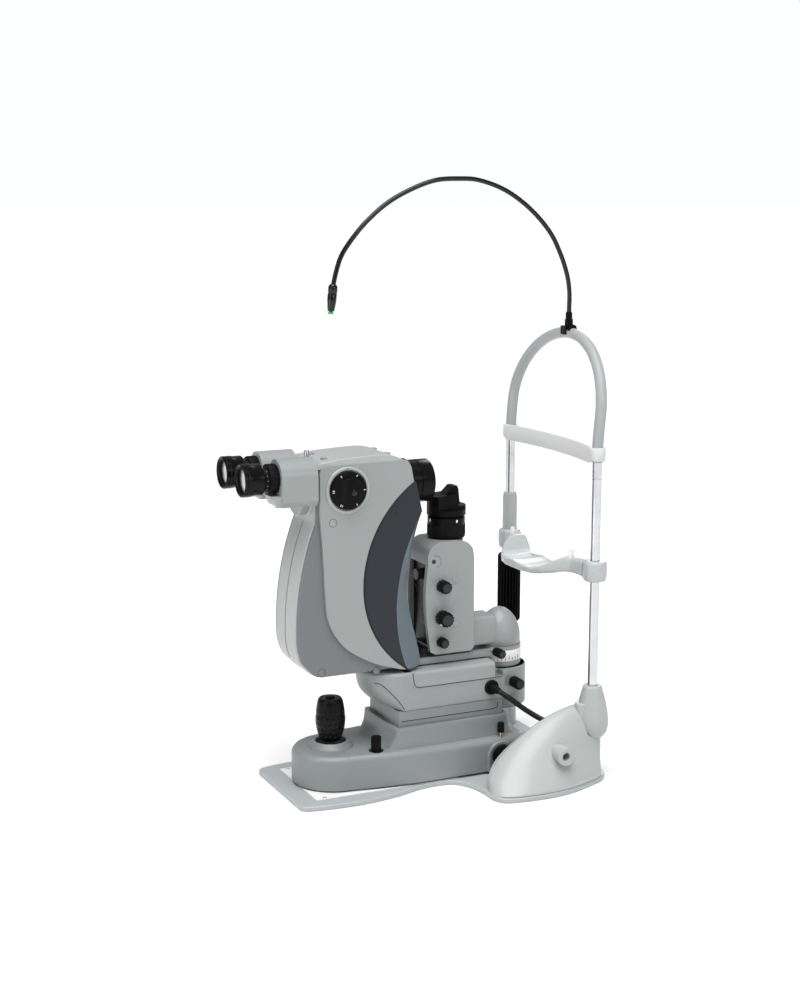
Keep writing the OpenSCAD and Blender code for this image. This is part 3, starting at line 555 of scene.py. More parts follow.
def base_plate():
    refine("base_plate", 1.6, 3)
    refine("slide_sheet", 0)
    for i, (x, y) in enumerate(((-343, 57), (-340, -57.5), (-170, 54), (-170, -54))):
        screw(f"sheet_screw_{i}", (x, y, PLATE_Z + 0.7), "z", "stand", 2.4)
    for side, sign in sides():
        rail_cover(side, sign)
    refine("side_sockets", 0.9, 3)


base_plate()

# ---------------------------------------------------------------- head rest

STAND_PROFILE = [(11.5, PLATE_Z), (11.5, 52)] + smooth(
    [(15.5, 55), (18.6, 60), (20.4, 68), (20.4, 78), (18.6, 90), (16.6, 100), (13.6, 111), (12.2, 116)], 4) + [
    (11.7, 118), (10.6, 118.8), (POLE_R + 0.6, 118.8), (POLE_R, 118), (POLE_R, 100)]
POLE_TOP = box_mm("poles")[1][2]
MARK_Z = 380


def head_poles():
    pole = [(POLE_R, 60), (POLE_R, MARK_Z - 1), (POLE_R - 0.5, MARK_Z - 0.6), (POLE_R - 0.5, MARK_Z + 0.6),
            (POLE_R, MARK_Z + 1), (POLE_R, POLE_TOP)]
    for side, sign in sides():
        centre = (0, sign * POLE_Y, 0)
        lathe(f"pole_{side}", pole, centre, "z", "stand", "chrome", ["poles"], steps=96)
        lathe(f"pole_stand_{side}", STAND_PROFILE, centre, "z", "stand", "light_paint", ["pole_stands"], sharp=40)
        # clamp screw boss in front of the stand
        lathe(f"stand_boss_{side}", [(8.5, 70), (8.5, 97), (7.6, 98.4), (0, 98.4)], (-15, sign * POLE_Y, 0), "z",
              "stand", "light_paint", steps=48)
        screw(f"stand_screw_{side}", (-15, sign * POLE_Y, 98.4), "z", "stand", 3.2)


ARCH_LOW, ARCH_SPRING = 401, 453
ARCH_R = 6.8


def lean(z):
    return (CLAMP_X) * (max(z - ARCH_LOW, 0) / (ARCH_TOP - ARCH_LOW)) ** 1.9


def head_arch():
    leg = [(0, -POLE_Y, ARCH_LOW + t * (ARCH_SPRING - ARCH_LOW) / 8) for t in range(8)]
    bow = [(0, -POLE_Y * math.cos(a), ARCH_SPRING + (ARCH_TOP - ARCH_SPRING) * math.sin(a))
           for a in (math.pi * i / 72 for i in range(73))]
    path = leg + bow + [(x, -y, z) for x, y, z in reversed(leg)]
    tube("arch_tube", [(lean(z), y, z) for x, y, z in path], ARCH_R, "stand", "arch_foam", ["head_arch"],
         up=(1, 0, 0), sides=40)
    for side, sign in sides():
        lathe(f"arch_collar_{side}", [(ARCH_R + 0.1, -1.2), (ARCH_R + 0.6, -0.6), (ARCH_R + 0.6, 2.4),
                                      (ARCH_R + 0.1, 3)], (0, sign * POLE_Y, ARCH_LOW), "z", "stand", "light_paint")


def forehead_band():
    low, high, reach, bow = 399.2, 419.8, 106, 10
    rings = []
    for i in range(49):
        y = -reach + 2 * reach * i / 48
        x = -8.7 + bow * (1 - (y / reach) ** 2)
        half = 1.5
        ring = [(x - half, low + 1), (x - half * 0.6, low), (x + half * 0.6, low), (x + half, low + 1),
                (x + half * 0.8, low + 3), (x + half * 0.8, high - 3), (x + half, high - 1), (x + half * 0.6, high),
                (x - half * 0.6, high), (x - half, high - 1)]
        rings.append([(a, y, b) for a, b in ring])
    piece("band_strip", *rings_to_mesh(rings), "stand", "white_silicone", ["forehead_band"], 50)
    for side, sign in sides():
        lathe(f"band_clip_{side}", [(7.3, 402), (9.4, 402), (10, 403), (10, 417), (9.4, 418), (7.3, 418)],
              (0, sign * POLE_Y, 0), "z", "stand", "white_silicone")
        block(f"band_tab_{side}", (-9.6, sign * 104 - 6, 400.5), (-6.4, sign * 104 + 6, 418.5), "stand",
              "white_silicone", width=1.2)


def lerp_table(table, y):
    """The value at y in a table of (y, value) pairs, smoothly interpolated."""
    for (y0, v0), (y1, v1) in zip(table, table[1:]):
        if y <= y1:
            t = (y - y0) / (y1 - y0)
            t = t * t * (3 - 2 * t) * 0.5 + t * 0.5
            return v0 + (v1 - v0) * t
    return table[-1][1]


CHIN_FRONT = [(0, -58), (18, -57), (34, -52.5), (48, -46), (60, -37), (70, -26), (80, -17), (90, -14), (100, -13)]
CHIN_BACK = [(0, -6), (20, -5.5), (40, -3), (70, 4), (86, 9), (100, 10)]
CHIN_UPPER = [(0, 1), (18, -2), (38, -4.5), (50, -1), (60, 6), (72, 12.5), (86, 11.5), (100, 11.5)]
CHIN_LOWER = [(0, -15), (40, -15), (56, -12), (70, -8), (86, -9), (100, -11)]


def chin_rest():
    rings = []
    for i in range(65):
        y = -100 + 200 * i / 64
        front, back = lerp_table(CHIN_FRONT, abs(y)), lerp_table(CHIN_BACK, abs(y))
        top, low = lerp_table(CHIN_UPPER, abs(y)), lerp_table(CHIN_LOWER, abs(y))
        cx, cz, a, b = (front + back) / 2, (top + low) / 2, (back - front) / 2, (top - low) / 2
        dip = 4.5 * max(0.0, 1 - (y / 62) ** 2)
        ring = []
        for k in range(40):
            c, s = math.cos(2 * math.pi * k / 40), math.sin(2 * math.pi * k / 40)
            x = a * math.copysign(abs(c) ** 0.42, c)
            z = b * math.copysign(abs(s) ** 0.55, s)
            if z > 0:
                z -= dip * (1 - (x / a) ** 4)
            ring.append((cx + x, y, CHIN_Z + cz + z))
        rings.append(ring)
    piece("chin_cup", *rings_to_mesh(rings), "chin", "chin_white", ["chin_rest"], 60)
    barrel = smooth([(7, -13.2), (12.5, -12.6), (14.6, -9), (15, 0), (14.6, 9), (12.5, 12), (7, 12.6)], 5)
    for side, sign in sides():
        lathe(f"chin_slider_{side}", barrel, (0, sign * POLE_Y, CHIN_Z), "z", "chin", "chin_white", sharp=50)
        lathe(f"chin_pin_{side}", [(3, 4), (3, 20), (2.4, 21.6), (0, 22)], (-14, sign * 76, CHIN_Z), "z", "chin",
              "mark_white", steps=24)
    sleeve = [(7, 8), (9.6, 8), (9.6, 56), (8.9, 58), (8.9, 60.5), (8.2, 62), (POLE_R + 0.2, 62)]
    lathe("chin_sleeve", sleeve, (0, POLE_Y, CHIN_Z), "z", "chin", "light_paint")
    screw("chin_slider_screw", (0, -POLE_Y - 14.6, CHIN_Z), "y", "chin", 2.6, "steel", -1)
    grip = [(9.6, -124), (10, -123), (10, -115), (13.5, -114), (15.5, -111), (15.5, -25), (13.5, -21.5), (10, -21),
            (9.6, -14.5)]
    fins = ribs(22, 3.2, 0.6)
    lathe("chin_grip", grip, (0, POLE_Y, CHIN_Z), "z", "chin_drive", "black_rubber", ["chin_knob"], steps=264,
          ripple=lambda a, r, h: fins(a, r, h) if r > 12 else r, sharp=40)


LAMP_POINTS = [(0, 11), (0, 30), (0, 51), (-4, 73), (-14.5, 100), (-30.5, 127), (-58.5, 155), (-92.5, 177),
               (-128, 189), (-155.5, 191), (-188.5, 189), (-221.5, 178), (-251.5, 162.5), (-277.5, 142),
               (-295.5, 123), (-310.5, 102.5), (-317.5, 84), (-321.5, 68)]


def fixation_lamp():
    path = [(CLAMP_X + x, 0, ARCH_TOP + z) for x, z in smooth(LAMP_POINTS, 8)]
    tube("lamp_gooseneck", path, 2.9, "lamp", "black_gloss", ["fixation_arm"], up=(0, 1, 0), sides=24)
    lathe("lamp_ferrule", [(0, 0), (4.2, 0), (4.2, 7), (3.4, 9), (2.9, 9)], (CLAMP_X, 0, ARCH_TOP + 17.2), "z",
          "lamp", "black_plastic", steps=32)
    tilt = math.radians(6)
    start = Vector((CLAMP_X - 321.6, 0, ARCH_TOP + 68))
    down = Vector((-math.sin(tilt), 0, -math.cos(tilt)))
    shape = [(-1, 2.9), (0, 4.4), (2, 5.4), (4, 5.6), (9, 5.6), (9.6, 5.2), (10.4, 5.2), (11, 5.6), (19, 5.5), (24, 4.9),
             (29, 4.3), (31, 3.9)]
    head = [tuple(start + down * h) for h, r in shape]
    rings = []
    for (h, r), c in zip(shape, head):
        rings.append([tuple(Vector(c) + r * Vector((math.cos(a) * math.cos(tilt), math.sin(a),
                                                    -math.cos(a) * math.sin(tilt))))
                      for a in (2 * math.pi * k / 32 for k in range(32))])
    piece("lamp_head", *rings_to_mesh(rings), "lamp", "black_gloss", (), 50)
    lathe("lamp_window", [(3.4, -1), (3.2, 0.8), (2, 2.2), (0, 2.6)], tuple(start + down * 33.4), "z", "lamp", "tip_green",
          steps=24)


def lamp_clamp():
    refine("lamp_clamp", 1.2, 3)
    wheel = [(0, 0), (5.5, 0), (6, 0.5), (6, 4.5), (5.5, 5), (0, 5)]
    lathe("clamp_screw", wheel, (CLAMP_X - 0.5, -12, ARCH_TOP + 5), "y", "stand", "black_plastic", steps=96,
          ripple=ribs(24, 0.5))


head_poles()
head_arch()
forehead_band()
chin_rest()
lamp_clamp()
fixation_lamp()

# ---------------------------------------------------------------- moving base and joystick

NOSE_X, NOSE_R, BASE_HW, BASE_END = -303, 53, 64, -60
COLLAR_TOP = box_mm("base_housing")[1][2]


def base_outline():
    side = smooth([(NOSE_X, -NOSE_R), (-265, -BASE_HW + 5), (-225, -BASE_HW + 0.5), (-180, -BASE_HW),
                   (BASE_END - 16, -BASE_HW)], 8)
    side += arc(BASE_END - 16, -BASE_HW + 16, 16, -90, 0, 12)[1:]
    return arc(NOSE_X, 0, NOSE_R, 90, 270, 56) + side[1:] + mirrored(side)[:-1]


def inset(outline, d):
    """The outline moved inwards by d."""
    out = []
    n = len(outline)
    for i in range(n):
        ax, ay = outline[i - 1]
        bx, by = outline[(i + 1) % n]
        tx, ty = bx - ax, by - ay
        length = math.hypot(tx, ty)
        out.append((outline[i][0] - d * ty / length, outline[i][1] + d * tx / length))
    return out


def domed_slab(name, outline, low, high, round_r, body, look, replaces=(), foot=0.8):
    """An extruded outline with a rounded shoulder of radius round_r on top."""
    levels = [(foot, low), (0, low + foot)]
    for a in range(0, 91, 10):
        t = math.radians(a)
        levels.append((round_r * (1 - math.cos(t)), high - round_r + round_r * math.sin(t)))
    rings = [[(x, y, z) for x, y in inset(outline, d)] for d, z in levels]
    return piece(name, *rings_to_mesh(rings), body, look, replaces, 40)


def moving_base():
    outline = base_outline()
    obj = domed_slab("base_cover", outline, BASE_LOW, BASE_TOP, 9, "base", "base_paint", ["base_housing"])
    skirt_low, skirt_high = box_mm("column")
    cutters = [slab("cutter", inset(outline, 3), BASE_LOW - 2, BASE_TOP - 3, "z", None, "seam"),
               cutter_block((skirt_low[0] - 1, skirt_low[1] - 1, 40), (skirt_high[0] + 1, skirt_high[1] + 1, 60)),
               cutter_bar((JOY_X, 0, 40), "z", 19, 20, 64),
               cutter_bar((AXLE_X, -80, AXLE_Z), "y", 7, 160)]
    for knob, r in (("base_lock_knob", 3.05), ("transport_pin", 2.05)):
        low, high = box_mm(knob)
        cutters.append(cutter_bar(((low[0] + high[0]) / 2, (low[1] + high[1]) / 2, 44), "z", r, 12))
    carve(obj, cutters)
    collar = [(19, 47), (28, 47), (28, BASE_TOP + 0.4), (27.2, BASE_TOP + 1.6), (24.4, BASE_TOP + 3.4),
              (22.4, COLLAR_TOP - 1.2), (21.4, COLLAR_TOP), (19.9, COLLAR_TOP), (19, COLLAR_TOP - 1), (19, 47)]
    ring("joystick_collar", collar, (JOY_X, 0, 0), "z", "base", "base_paint")
    for side, sign in sides():
        outer, inner = ([(AXLE_X - r, BASE_LOW + 0.5)] + arc(AXLE_X, AXLE_Z, r, 180, 0, 36) + [(AXLE_X + r, BASE_LOW + 0.5)]
                        for r in (19, 14.6))
        y0, y1 = sorted((sign * (BASE_HW - 1), sign * (BASE_HW + 3)))
        arch = slab(f"axle_boss_{side}", outer + inner[::-1], y0, y1, "y", "base", "base_paint")
        soften(arch, 1.3, 4)
        folds = [(9.6 + 2.2 * t / 8 + (0.9 if t % 2 else -0.5), sign * (BASE_HW + 10 - 7 * t / 8)) for t in range(9)]
        folds = [(5.7, folds[0][1])] + folds + [(12.4, sign * (BASE_HW + 2.5)), (5.7, sign * (BASE_HW + 2.5)),
                                                (5.7, folds[0][1])]
        ring(f"axle_boot_{side}", folds, (AXLE_X, 0, AXLE_Z), "y", "base", "black_rubber", ["axle_boots"])
    refine("base_floor", 0.6)
    refine("wheel_guides", 1.0)


def ring(name, profile, centre, axis, body, look, replaces=(), steps=72, sharp=35):
    """A turned ring: its profile is closed, so it has a hole through it."""
    u, v, w = (Vector(a) for a in AXES[axis])
    rings = []
    for i in range(steps):
        a = 2 * math.pi * i / steps
        spoke = u * math.cos(a) + v * math.sin(a)
        rings.append([tuple(Vector(centre) + spoke * r + w * h) for r, h in profile[:-1]])
    rings.append(rings[0])
    points, faces = rings_to_mesh(rings, True, False)
    return piece(name, points, faces, body, look, replaces, sharp)


def small_base_knobs():
    low, high = box_mm("base_lock_knob")
    centre = ((low[0] + high[0]) / 2, (low[1] + high[1]) / 2, 0)
    body = [(3, low[2]), (3, BASE_TOP + 1.2), (6, BASE_TOP + 1.2), (6.2, BASE_TOP + 2), (6.2, high[2] - 1.4),
            (5.4, high[2] - 0.4), (4, high[2]), (0, high[2])]
    knurl = ribs(28, 0.45)
    lathe("base_lock", body, centre, "z", "base_lock", "black_plastic", ["base_lock_knob"], steps=168,
          ripple=lambda a, r, h: knurl(a, r, h) if r > 6 else r)
    ring("base_lock_washer", [(3.4, BASE_TOP - 0.3), (9, BASE_TOP - 0.3), (9, BASE_TOP + 0.5), (8.4, BASE_TOP + 0.8),
                              (3.4, BASE_TOP + 0.8), (3.4, BASE_TOP - 0.3)], centre, "z", "base", "black_metal")
    low, high = box_mm("transport_pin")
    centre = ((low[0] + high[0]) / 2, (low[1] + high[1]) / 2, 0)
    stem = [(2, low[2]), (2, BASE_TOP - 1), (1.7, BASE_TOP), (1.7, BASE_TOP + 5.2)]
    lathe("transport_stem", stem, centre, "z", "transport_lock", "brass", steps=40)
    cap = [(3, BASE_TOP + 5), (4.3, BASE_TOP + 5.4), (4.3, high[2] - 1), (3.6, high[2]), (0, high[2])]
    knurl_small = ribs(20, 0.35)
    lathe("transport_cap", cap, centre, "z", "transport_lock", "black_plastic", ["transport_pin"], steps=120,
          ripple=lambda a, r, h: knurl_small(a, r, h) if r > 4 else r)


def joystick():
    low, high = box_mm("joystick_grip")
    body = smooth([(9.5, low[2]), (12.6, low[2] + 2.5), (16.3, low[2] + 12), (18.4, low[2] + 25),
                   (18, low[2] + 33.6)], 5)
    body += [(17.3, low[2] + 34.2), (17.3, low[2] + 35.4)]
    body += smooth([(17.9, low[2] + 36), (16.9, low[2] + 45), (15.4, low[2] + 52), (13.4, high[2])], 4)
    body += [(5.9, high[2]), (5.7, high[2] - 0.5), (5.7, high[2] - 6)]
    grip = lathe("joystick_shell", body, (JOY_X, 0, 0), "z", "grip", "grip_black", ["joystick_grip"], steps=96,
                 sharp=40)
    dimples = []
    for row, (z, r) in enumerate(((low[2] + 9, 16.2), (low[2] + 16.5, 18.2), (low[2] + 24, 19.3), (low[2] + 31, 19.2),
                                  (low[2] + 41, 18.6))):
        for i in range(16):
            a = 2 * math.pi * (i + 0.5 * (row % 2)) / 16
            dimples.append(Matrix.Translation(at((JOY_X + r * math.cos(a), r * math.sin(a), z))))
    mesh = bpy.data.meshes.new("cutter")
    bm = bmesh.new()
    for place in dimples:
        bmesh.ops.create_icosphere(bm, subdivisions=2, radius=0.0024, matrix=place)
    bm.to_mesh(mesh)
    bm.free()
    carve(grip, [dress(mesh, "cutter", None, "seam")])
    top = box_mm("fire_button")[1][2]
    lathe("fire_cap", [(5.6, 109), (5.6, top - 1.6), (4.8, top - 0.5), (3, top - 0.1), (0, top)], (JOY_X, 0, 0), "z",
          "button", "black_gloss", ["fire_button"], steps=48)


EXTRA["brass"] = brushed("brass", (0.62, 0.44, 0.16), 0.25, (1, 1, 6))
moving_base()
small_base_knobs()
joystick()

# ---------------------------------------------------------------- column and arm

COL_LOW, COL_HIGH = box_mm("column")
COVER_LOW, COVER_HIGH = box_mm("arm_cover")
ARM_FRONT = -226
SEAT_TOP = 130
ARM_NOSE = [(ARM_LOW, 0.24), (98, 0.36), (102, 0.55), (108, 0.73), (114, 0.85), (122, 0.93), (132, 0.98), (ARM_TOP, 1)]


def arm_ring(z, d):
    """The arm's plan at height z, moved inwards by d."""
    k = lerp_table(ARM_NOSE, z)
    plan = [(ARM_FRONT + (x - ARM_FRONT) * k, y) for x, y in arc(ARM_FRONT, 0, ARM_HW, 90, 270, 40)]
    rear = arc(-91, -ARM_HW + 7, 7, -90, -20, 6) + arc(PIVOT_X, 0, 33.4, -62, 62, 30)
    plan += rear + [(x, -y) for x, y in reversed(arc(-91, -ARM_HW + 7, 7, -90, -20, 6))]
    return [(x, y, z) for x, y in inset(plan, d)] if d else [(x, y, z) for x, y in plan]


def arm_solid(name, look, replaces):
    levels = [(1.6, ARM_LOW), (0.5, ARM_LOW + 0.5)] + [(0, z) for z in (97, 99, 102, 106, 110, 115, 121, 128, 135)]
    levels += [(5 * (1 - math.cos(math.radians(a))), ARM_TOP - 5 + 5 * math.sin(math.radians(a)))
               for a in range(0, 91, 15)]
    return piece(name, *rings_to_mesh([arm_ring(z, d) for d, z in levels]), "lift_unit", look, replaces, 40)


def keep_common(obj, other):
    """Leaves only what obj and other share, and removes other."""
    keep = obj.modifiers.new("keep", "BOOLEAN")
    keep.operation = "INTERSECT"
    keep.solver = "EXACT"
    keep.object = other
    apply_modifiers(obj)
    bpy.data.objects.remove(other)
    obj.data.shade_smooth()
    obj.data.set_sharp_from_angle(angle=math.radians(32))
    return obj


def skirt_shell():
    """The collar around the column, which flares out into the top of the base."""
    flare, steps = 10, 12
    (low_x, low_y, low_z), (high_x, high_y, high_z) = box_mm("column_skirt")
    rings = []
    for k in range(steps + 1):
        rise = (k / steps) ** 1.6
        g = flare * (1 - rise) ** 2.6 - (0.8 if k == steps else 0)
        corner, hw = 8 + g, high_y - 2 + 0.2 * g
        x0, x1 = low_x + flare - g + corner, high_x - flare + g - corner
        quarters = ((x1, hw - corner), (x0, hw - corner), (x0, corner - hw), (x1, corner - hw))
        rings.append([(x, y, low_z + (high_z - low_z) * rise) for i, (u, v) in enumerate(quarters)
                      for x, y in arc(u, v, corner, 90 * i, 90 * i + 90, 10)])
    skirt = piece("skirt_shell", *rings_to_mesh(rings), "base", "base_paint", ["column_skirt"], 40)
    carve(skirt, [cutter_block((COL_LOW[0] - 1, COL_LOW[1] - 1, 40), (COL_HIGH[0] + 1, COL_HIGH[1] + 1, 90))])


def column_and_arm():
    refine("column", 4.5, 5, "base_paint")
    skirt_shell()
    for side, sign in sides():
        y = sign * (COL_HIGH[1] + 0.1)
        groove(f"column_seam_{side}", [(COL_LOW[0] + 3, y, 83), (COL_HIGH[0] - 12, y, 83), (COL_HIGH[0] - 7, y, 84.5),
                                       (COL_HIGH[0] - 6, y, 91)], "lift_unit")
    cover_cut = ((COVER_LOW[0] - 0.3, -70, COVER_LOW[2] - 0.3), (COVER_HIGH[0] + 12, 70, 170))
    housing = arm_solid("arm_shell", "grey_paint", ["arm_housing"])
    carve(housing, [cutter_block((ARM_FRONT, -ARM_HW + 4, ARM_LOW + 4), (-100, ARM_HW - 4, 160)),
                    cutter_block(*cover_cut), cutter_block((-101, -70, SEAT_TOP), (0, 70, 170)),
                    cutter_bar((PIVOT_X, 0, 60), "z", 9, 100),
                    cutter_bar((-108, -60, 112), "y", 7.1, 30), cutter_bar((-72, -60, 113), "y", 3.05, 40)])
    lid = arm_solid("arm_lid", "grey_paint", ["arm_cover"])
    keep_common(lid, cutter_block(COVER_LOW[:1] + (-70,) + COVER_LOW[2:], (COVER_HIGH[0], 70, 170)))
    boss = [(9, 77.5), (32, 77.5), (34.5, 80), (34.5, SEAT_TOP - 1.5), (33, SEAT_TOP), (9, SEAT_TOP), (9, 77.5)]
    ring("pivot_boss", boss, (PIVOT_X, 0, 0), "z", "lift_unit", "grey_paint")
    for side, sign in sides():
        y = sign * (ARM_HW + 0.05)
        groove(f"arm_seam_{side}", [(-217, y, 143), (-214.5, y, 129), (-212, y, 125.2), (-207, y, 123.8),
                                    (-150, y, 123.8), (-93, y, 124)], "lift_unit")
        end_seam = smooth([(142, 131), (130, 130), (112, 116), (97, 98)], 4)
        nose = [((ARM_HW + 0.1) * math.cos(math.radians(a)), (ARM_HW + 0.1) * math.sin(math.radians(a)), z)
                for a, z in end_seam]
        groove(f"arm_end_seam_{side}", [(ARM_FRONT + u * lerp_table(ARM_NOSE, z), sign * v, z) for u, v, z in nose],
               "lift_unit")
    bore = CABLE_R + 0.1
    gland = [(bore, 7), (7, 7), (7, 0), (9.5, -0.2), (9.5, -2), (8.6, -3), (bore, -3), (bore, 7)]
    ring("gland_ring", gland, (-108, -ARM_HW, 112), "y", "lift_unit", "black_rubber", ["cable_gland"])
    tube("gland_sleeve", smooth(list(CABLE_ROUTE[1:4]), 4), lambda t: 5.6 - 1.5 * t, "lift_unit",
         "black_rubber", sides=28)
    for node, body in (("arm_lock_knob", "arm_lock"), ("swing_lock_knob", "swing_lock")):
        side_knob(node, body, 16, 0.8, False)


def side_knob(node, body, count, depth, index):
    """A ribbed knob that points along -Y, with its shaft, in place of a CAD node."""
    low, high = box_mm(node)
    x, z, r = (low[0] + high[0]) / 2, (low[2] + high[2]) / 2, (high[0] - low[0]) / 2
    tip, root = low[1], high[1]
    shaft_r = r * 0.42
    grip_root = tip + 0.63 * (root - tip)
    profile = [(0, tip), (r * 0.72, tip), (r * 0.8, tip + 0.5), (r * 0.8, tip + 0.7), (r - 0.7, tip + 0.8), (r, tip + 1.6),
               (r, grip_root - 1), (r - 0.8, grip_root), (min(shaft_r, 3), grip_root), (min(shaft_r, 3), root)]
    knurl = ribs(count, depth, 0.7)
    lathe(node + "_turned", profile, (x, 0, z), "y", body, "black_plastic", [node], steps=count * 10,
          ripple=lambda a, q, h: knurl(a, q, h) if q > r * 0.85 else q, sharp=40)
    lathe(node + "_face", [(r * 0.7, tip + 0.3), (r * 0.7, tip - 0.1), (r * 0.66, tip - 0.3), (0, tip - 0.35)], (x, 0, z),
          "y", body, "knob_grey", steps=48)
    if index:
        block(node + "_index", (x - r * 0.85, tip + 1.2, z - r * 0.62), (x - r * 0.7, tip + 5.5, z - r * 0.5), body,
              "mark_white")


column_and_arm()

# ---------------------------------------------------------------- microscope and laser body

BODY_LOW = box_mm("side_panels")[0][2] + 2
REAR_X, REAR_Z, REAR_R = -366, 205, 360
KNOB_AT = (-301, 377)


def body_outline(g=0.0):
    """Side outline of the laser body, pulled in by g."""
    lower = [(-240, BODY_LOW + g), (-338, BODY_LOW + g)] + smooth(
        [(-345 + g, BODY_LOW + 4), (-353 + g, 161), (-360.5 + g, 170), (-364.8 + g, 184)], 3)
    rear = []
    for i in range(24):
        z = 192 + i * 6.3
        rear.append((REAR_X + g + REAR_R - math.sqrt(REAR_R ** 2 - (z - REAR_Z) ** 2), z))
    top = [(-340 + g, 345), (-340 + g, 403 - g)] + arc(-332 + g, 403 - g, 8, 180, 98, 6)[1:]
    top += smooth([(-310, 414 - g), (-270, 415.8 - g), (-246, 415 - g), (-230 - g, 409 - g), (-219 - g, 399),
                   (-214.5 - g, 386), (-213 - g, 366), (-213 - g, 352)], 5)
    front = arc(14 - g, 250, 246, 157, 204, 24)
    return lower + rear + top + front


PANEL_EDGE = arc(-127.5, 254, 153, 124, 180, 28) + arc(-155.5, 254, 125, 180, 237, 28)[1:]
SHELL_EDGE = smooth([(-203, 345), (-214, 322), (-228, 285), (-235.6, 245), (-236.6, 215), (-233.5, 185),
                     (-226.5, 158), (-222.5, 148)], 7)
SHELL_OUTER = smooth([(-201, 341), (-211, 306), (-218, 268), (-219.5, 240), (-215, 215), (-208.5, 188), (-203, 165),
                      (-201.5, 150)], 7)


def resample(points, n):
    """n + 1 points spread evenly along a line of points."""
    lengths = [0.0]
    for (x0, z0), (x1, z1) in zip(points, points[1:]):
        lengths.append(lengths[-1] + math.hypot(x1 - x0, z1 - z0))
    out, j = [], 0
    for i in range(n + 1):
        s = lengths[-1] * i / n
        while j < len(points) - 2 and lengths[j + 1] < s:
            j += 1
        t = (s - lengths[j]) / (lengths[j + 1] - lengths[j])
        out.append(tuple(a + (b - a) * t for a, b in zip(points[j], points[j + 1])))
    return out


def body_shell():
    casing = slab("laser_casing", body_outline(), -CORE_HW, CORE_HW, "y", "microscope", "casing_paint",
                  ["body_casing", "rear_cover"], 25)
    soften(casing, 5, 5, 30)
    rear_line = [(x - 0.15, 0, z) for x, z in body_outline() if x < -335 and 168 < z < 342]
    groove("rear_seam", rear_line, "microscope", (0, 1, 0), 0.4, "mark_grey")
    crown = [(x, z) for x, z in body_outline(-0.3) if z > 396 and x < -216.5]
    deck = slab("top_deck", crown, 1.2 - BODY_HW, BODY_HW - 1.2, "y", "microscope", "casing_paint", [], 25)
    soften(deck, 4.5, 6, 30)
    for i, (x, y) in enumerate(((-322, 20), (-322, -20), (-240, 20), (-240, -20))):
        lathe(f"top_cap_{i}", [(4.4, 409), (4.4, 415.3 - abs(x + 270) * 0.02), (3.8, 415.7 - abs(x + 270) * 0.02),
                               (0, 415.7 - abs(x + 270) * 0.02)], (x, y, 0), "z", "microscope", "panel_paint", steps=32)


def side_skin(side, sign):
    """The recessed frame, the raised panel and the dark crescent on one side of the body. The frame's darker grey is
    painted shade for the recess.
    """
    frame_y = sorted((sign * (CORE_HW - 3), sign * (CORE_HW + 4)))
    frame_outline = body_outline(1.6)
    # the frame's dark grey paints the shade of the recess
    frame_obj = slab(f"side_frame_{side}", frame_outline, *frame_y, "y", "microscope", "cover_grey", [], 25)
    soften(frame_obj, 1.6, 3, 30)
    edge = [(x - 0.5, z) for x, z in PANEL_EDGE]
    outline = [(-214.5, 384), (-216.5, 395)] + arc(-229, 396, 12, 10, 80, 5) + arc(-326.5, 398, 10, 90, 180, 6)
    outline += smooth([(-336.5, 350), (-333, 305), (-330, 247), (-325, 215), (-306, 185), (-273, 163.5),
                                         (-240, 151.5), (-225, BODY_LOW - 1)], 8)
    outline += list(reversed(edge))
    panel_y = sorted((sign * (CORE_HW + 3), sign * BODY_HW))
    panel = slab(f"side_panel_{side}", outline, *panel_y, "y", "microscope", "panel_paint", ["side_panels"], 25)
    soften(panel, 2.6, 6, 30)
    seam = [(x + 0.1, sign * (BODY_HW - 0.5), z) for x, z in PANEL_EDGE]
    groove(f"panel_seam_{side}", seam, "microscope", (0, 1, 0), 1.0)
    # dark crescent: a flat face and a bevelled front
    n = 44
    inner, middle, outer = (resample([(x + 0.8, z) for x, z in PANEL_EDGE], n), resample(SHELL_EDGE, n),
                            resample(SHELL_OUTER, n))
    face_rows, bevel_rows = [], []
    for a, b, c in zip(inner, middle, outer):
        face_rows.append([(a[0], sign * (CORE_HW + 1), a[1]), (a[0], sign * (BODY_HW - 0.9), a[1]),
                          (a[0] + 0.7, sign * BODY_HW, a[1]), (b[0] - 0.3, sign * BODY_HW, b[1]),
                          (b[0], sign * (CORE_HW + 1), b[1])])
        mid = tuple(b[k] * 0.5 + c[k] * 0.5 for k in (0, 1))
        bevel_rows.append([(b[0] - 0.3, sign * (CORE_HW + 1), b[1]), (b[0] - 0.3, sign * BODY_HW, b[1]),
                           (mid[0], sign * (BODY_HW - 3), mid[1]), (c[0] - 0.6, sign * (CORE_HW + 1.8), c[1]),
                           (c[0], sign * CORE_HW, c[1])])
    piece(f"crescent_face_{side}", *rings_to_mesh(face_rows), "microscope", "slate_paint", ["side_shells"], 30)
    piece(f"crescent_bevel_{side}", *rings_to_mesh(bevel_rows), "microscope", "bevel_grey", [], 30)
    caps = (("panel_top", -320, 339), ("panel_low", -334, 156), ("panel_front", -262, 150), ("crescent", -240, 341))
    for name, x, z in caps:
        y = CORE_HW + 4 if z < 160 else BODY_HW
        # caps low on the frame take the frame's painted recess shade
        look = "slate_paint" if name == "crescent" else "cover_grey" if z < 160 else "panel_paint"
        cap = [(4.6, -1), (4.6, 0.25), (4.2, 0.5), (0, 0.55)]
        lathe(f"{name}_cap_{side}", [(r, sign * h) for r, h in cap], (x, sign * y, z), "y", "microscope", look, steps=40)
        ring(f"{name}_ring_{side}", [(4.6, sign * -1), (5.1, sign * -1), (5.1, sign * 0.12), (4.6, sign * 0.12),
                                     (4.6, sign * -1)], (x, sign * y, z), "y", "microscope", "seam", steps=40)
    magnification_knob(side, sign)


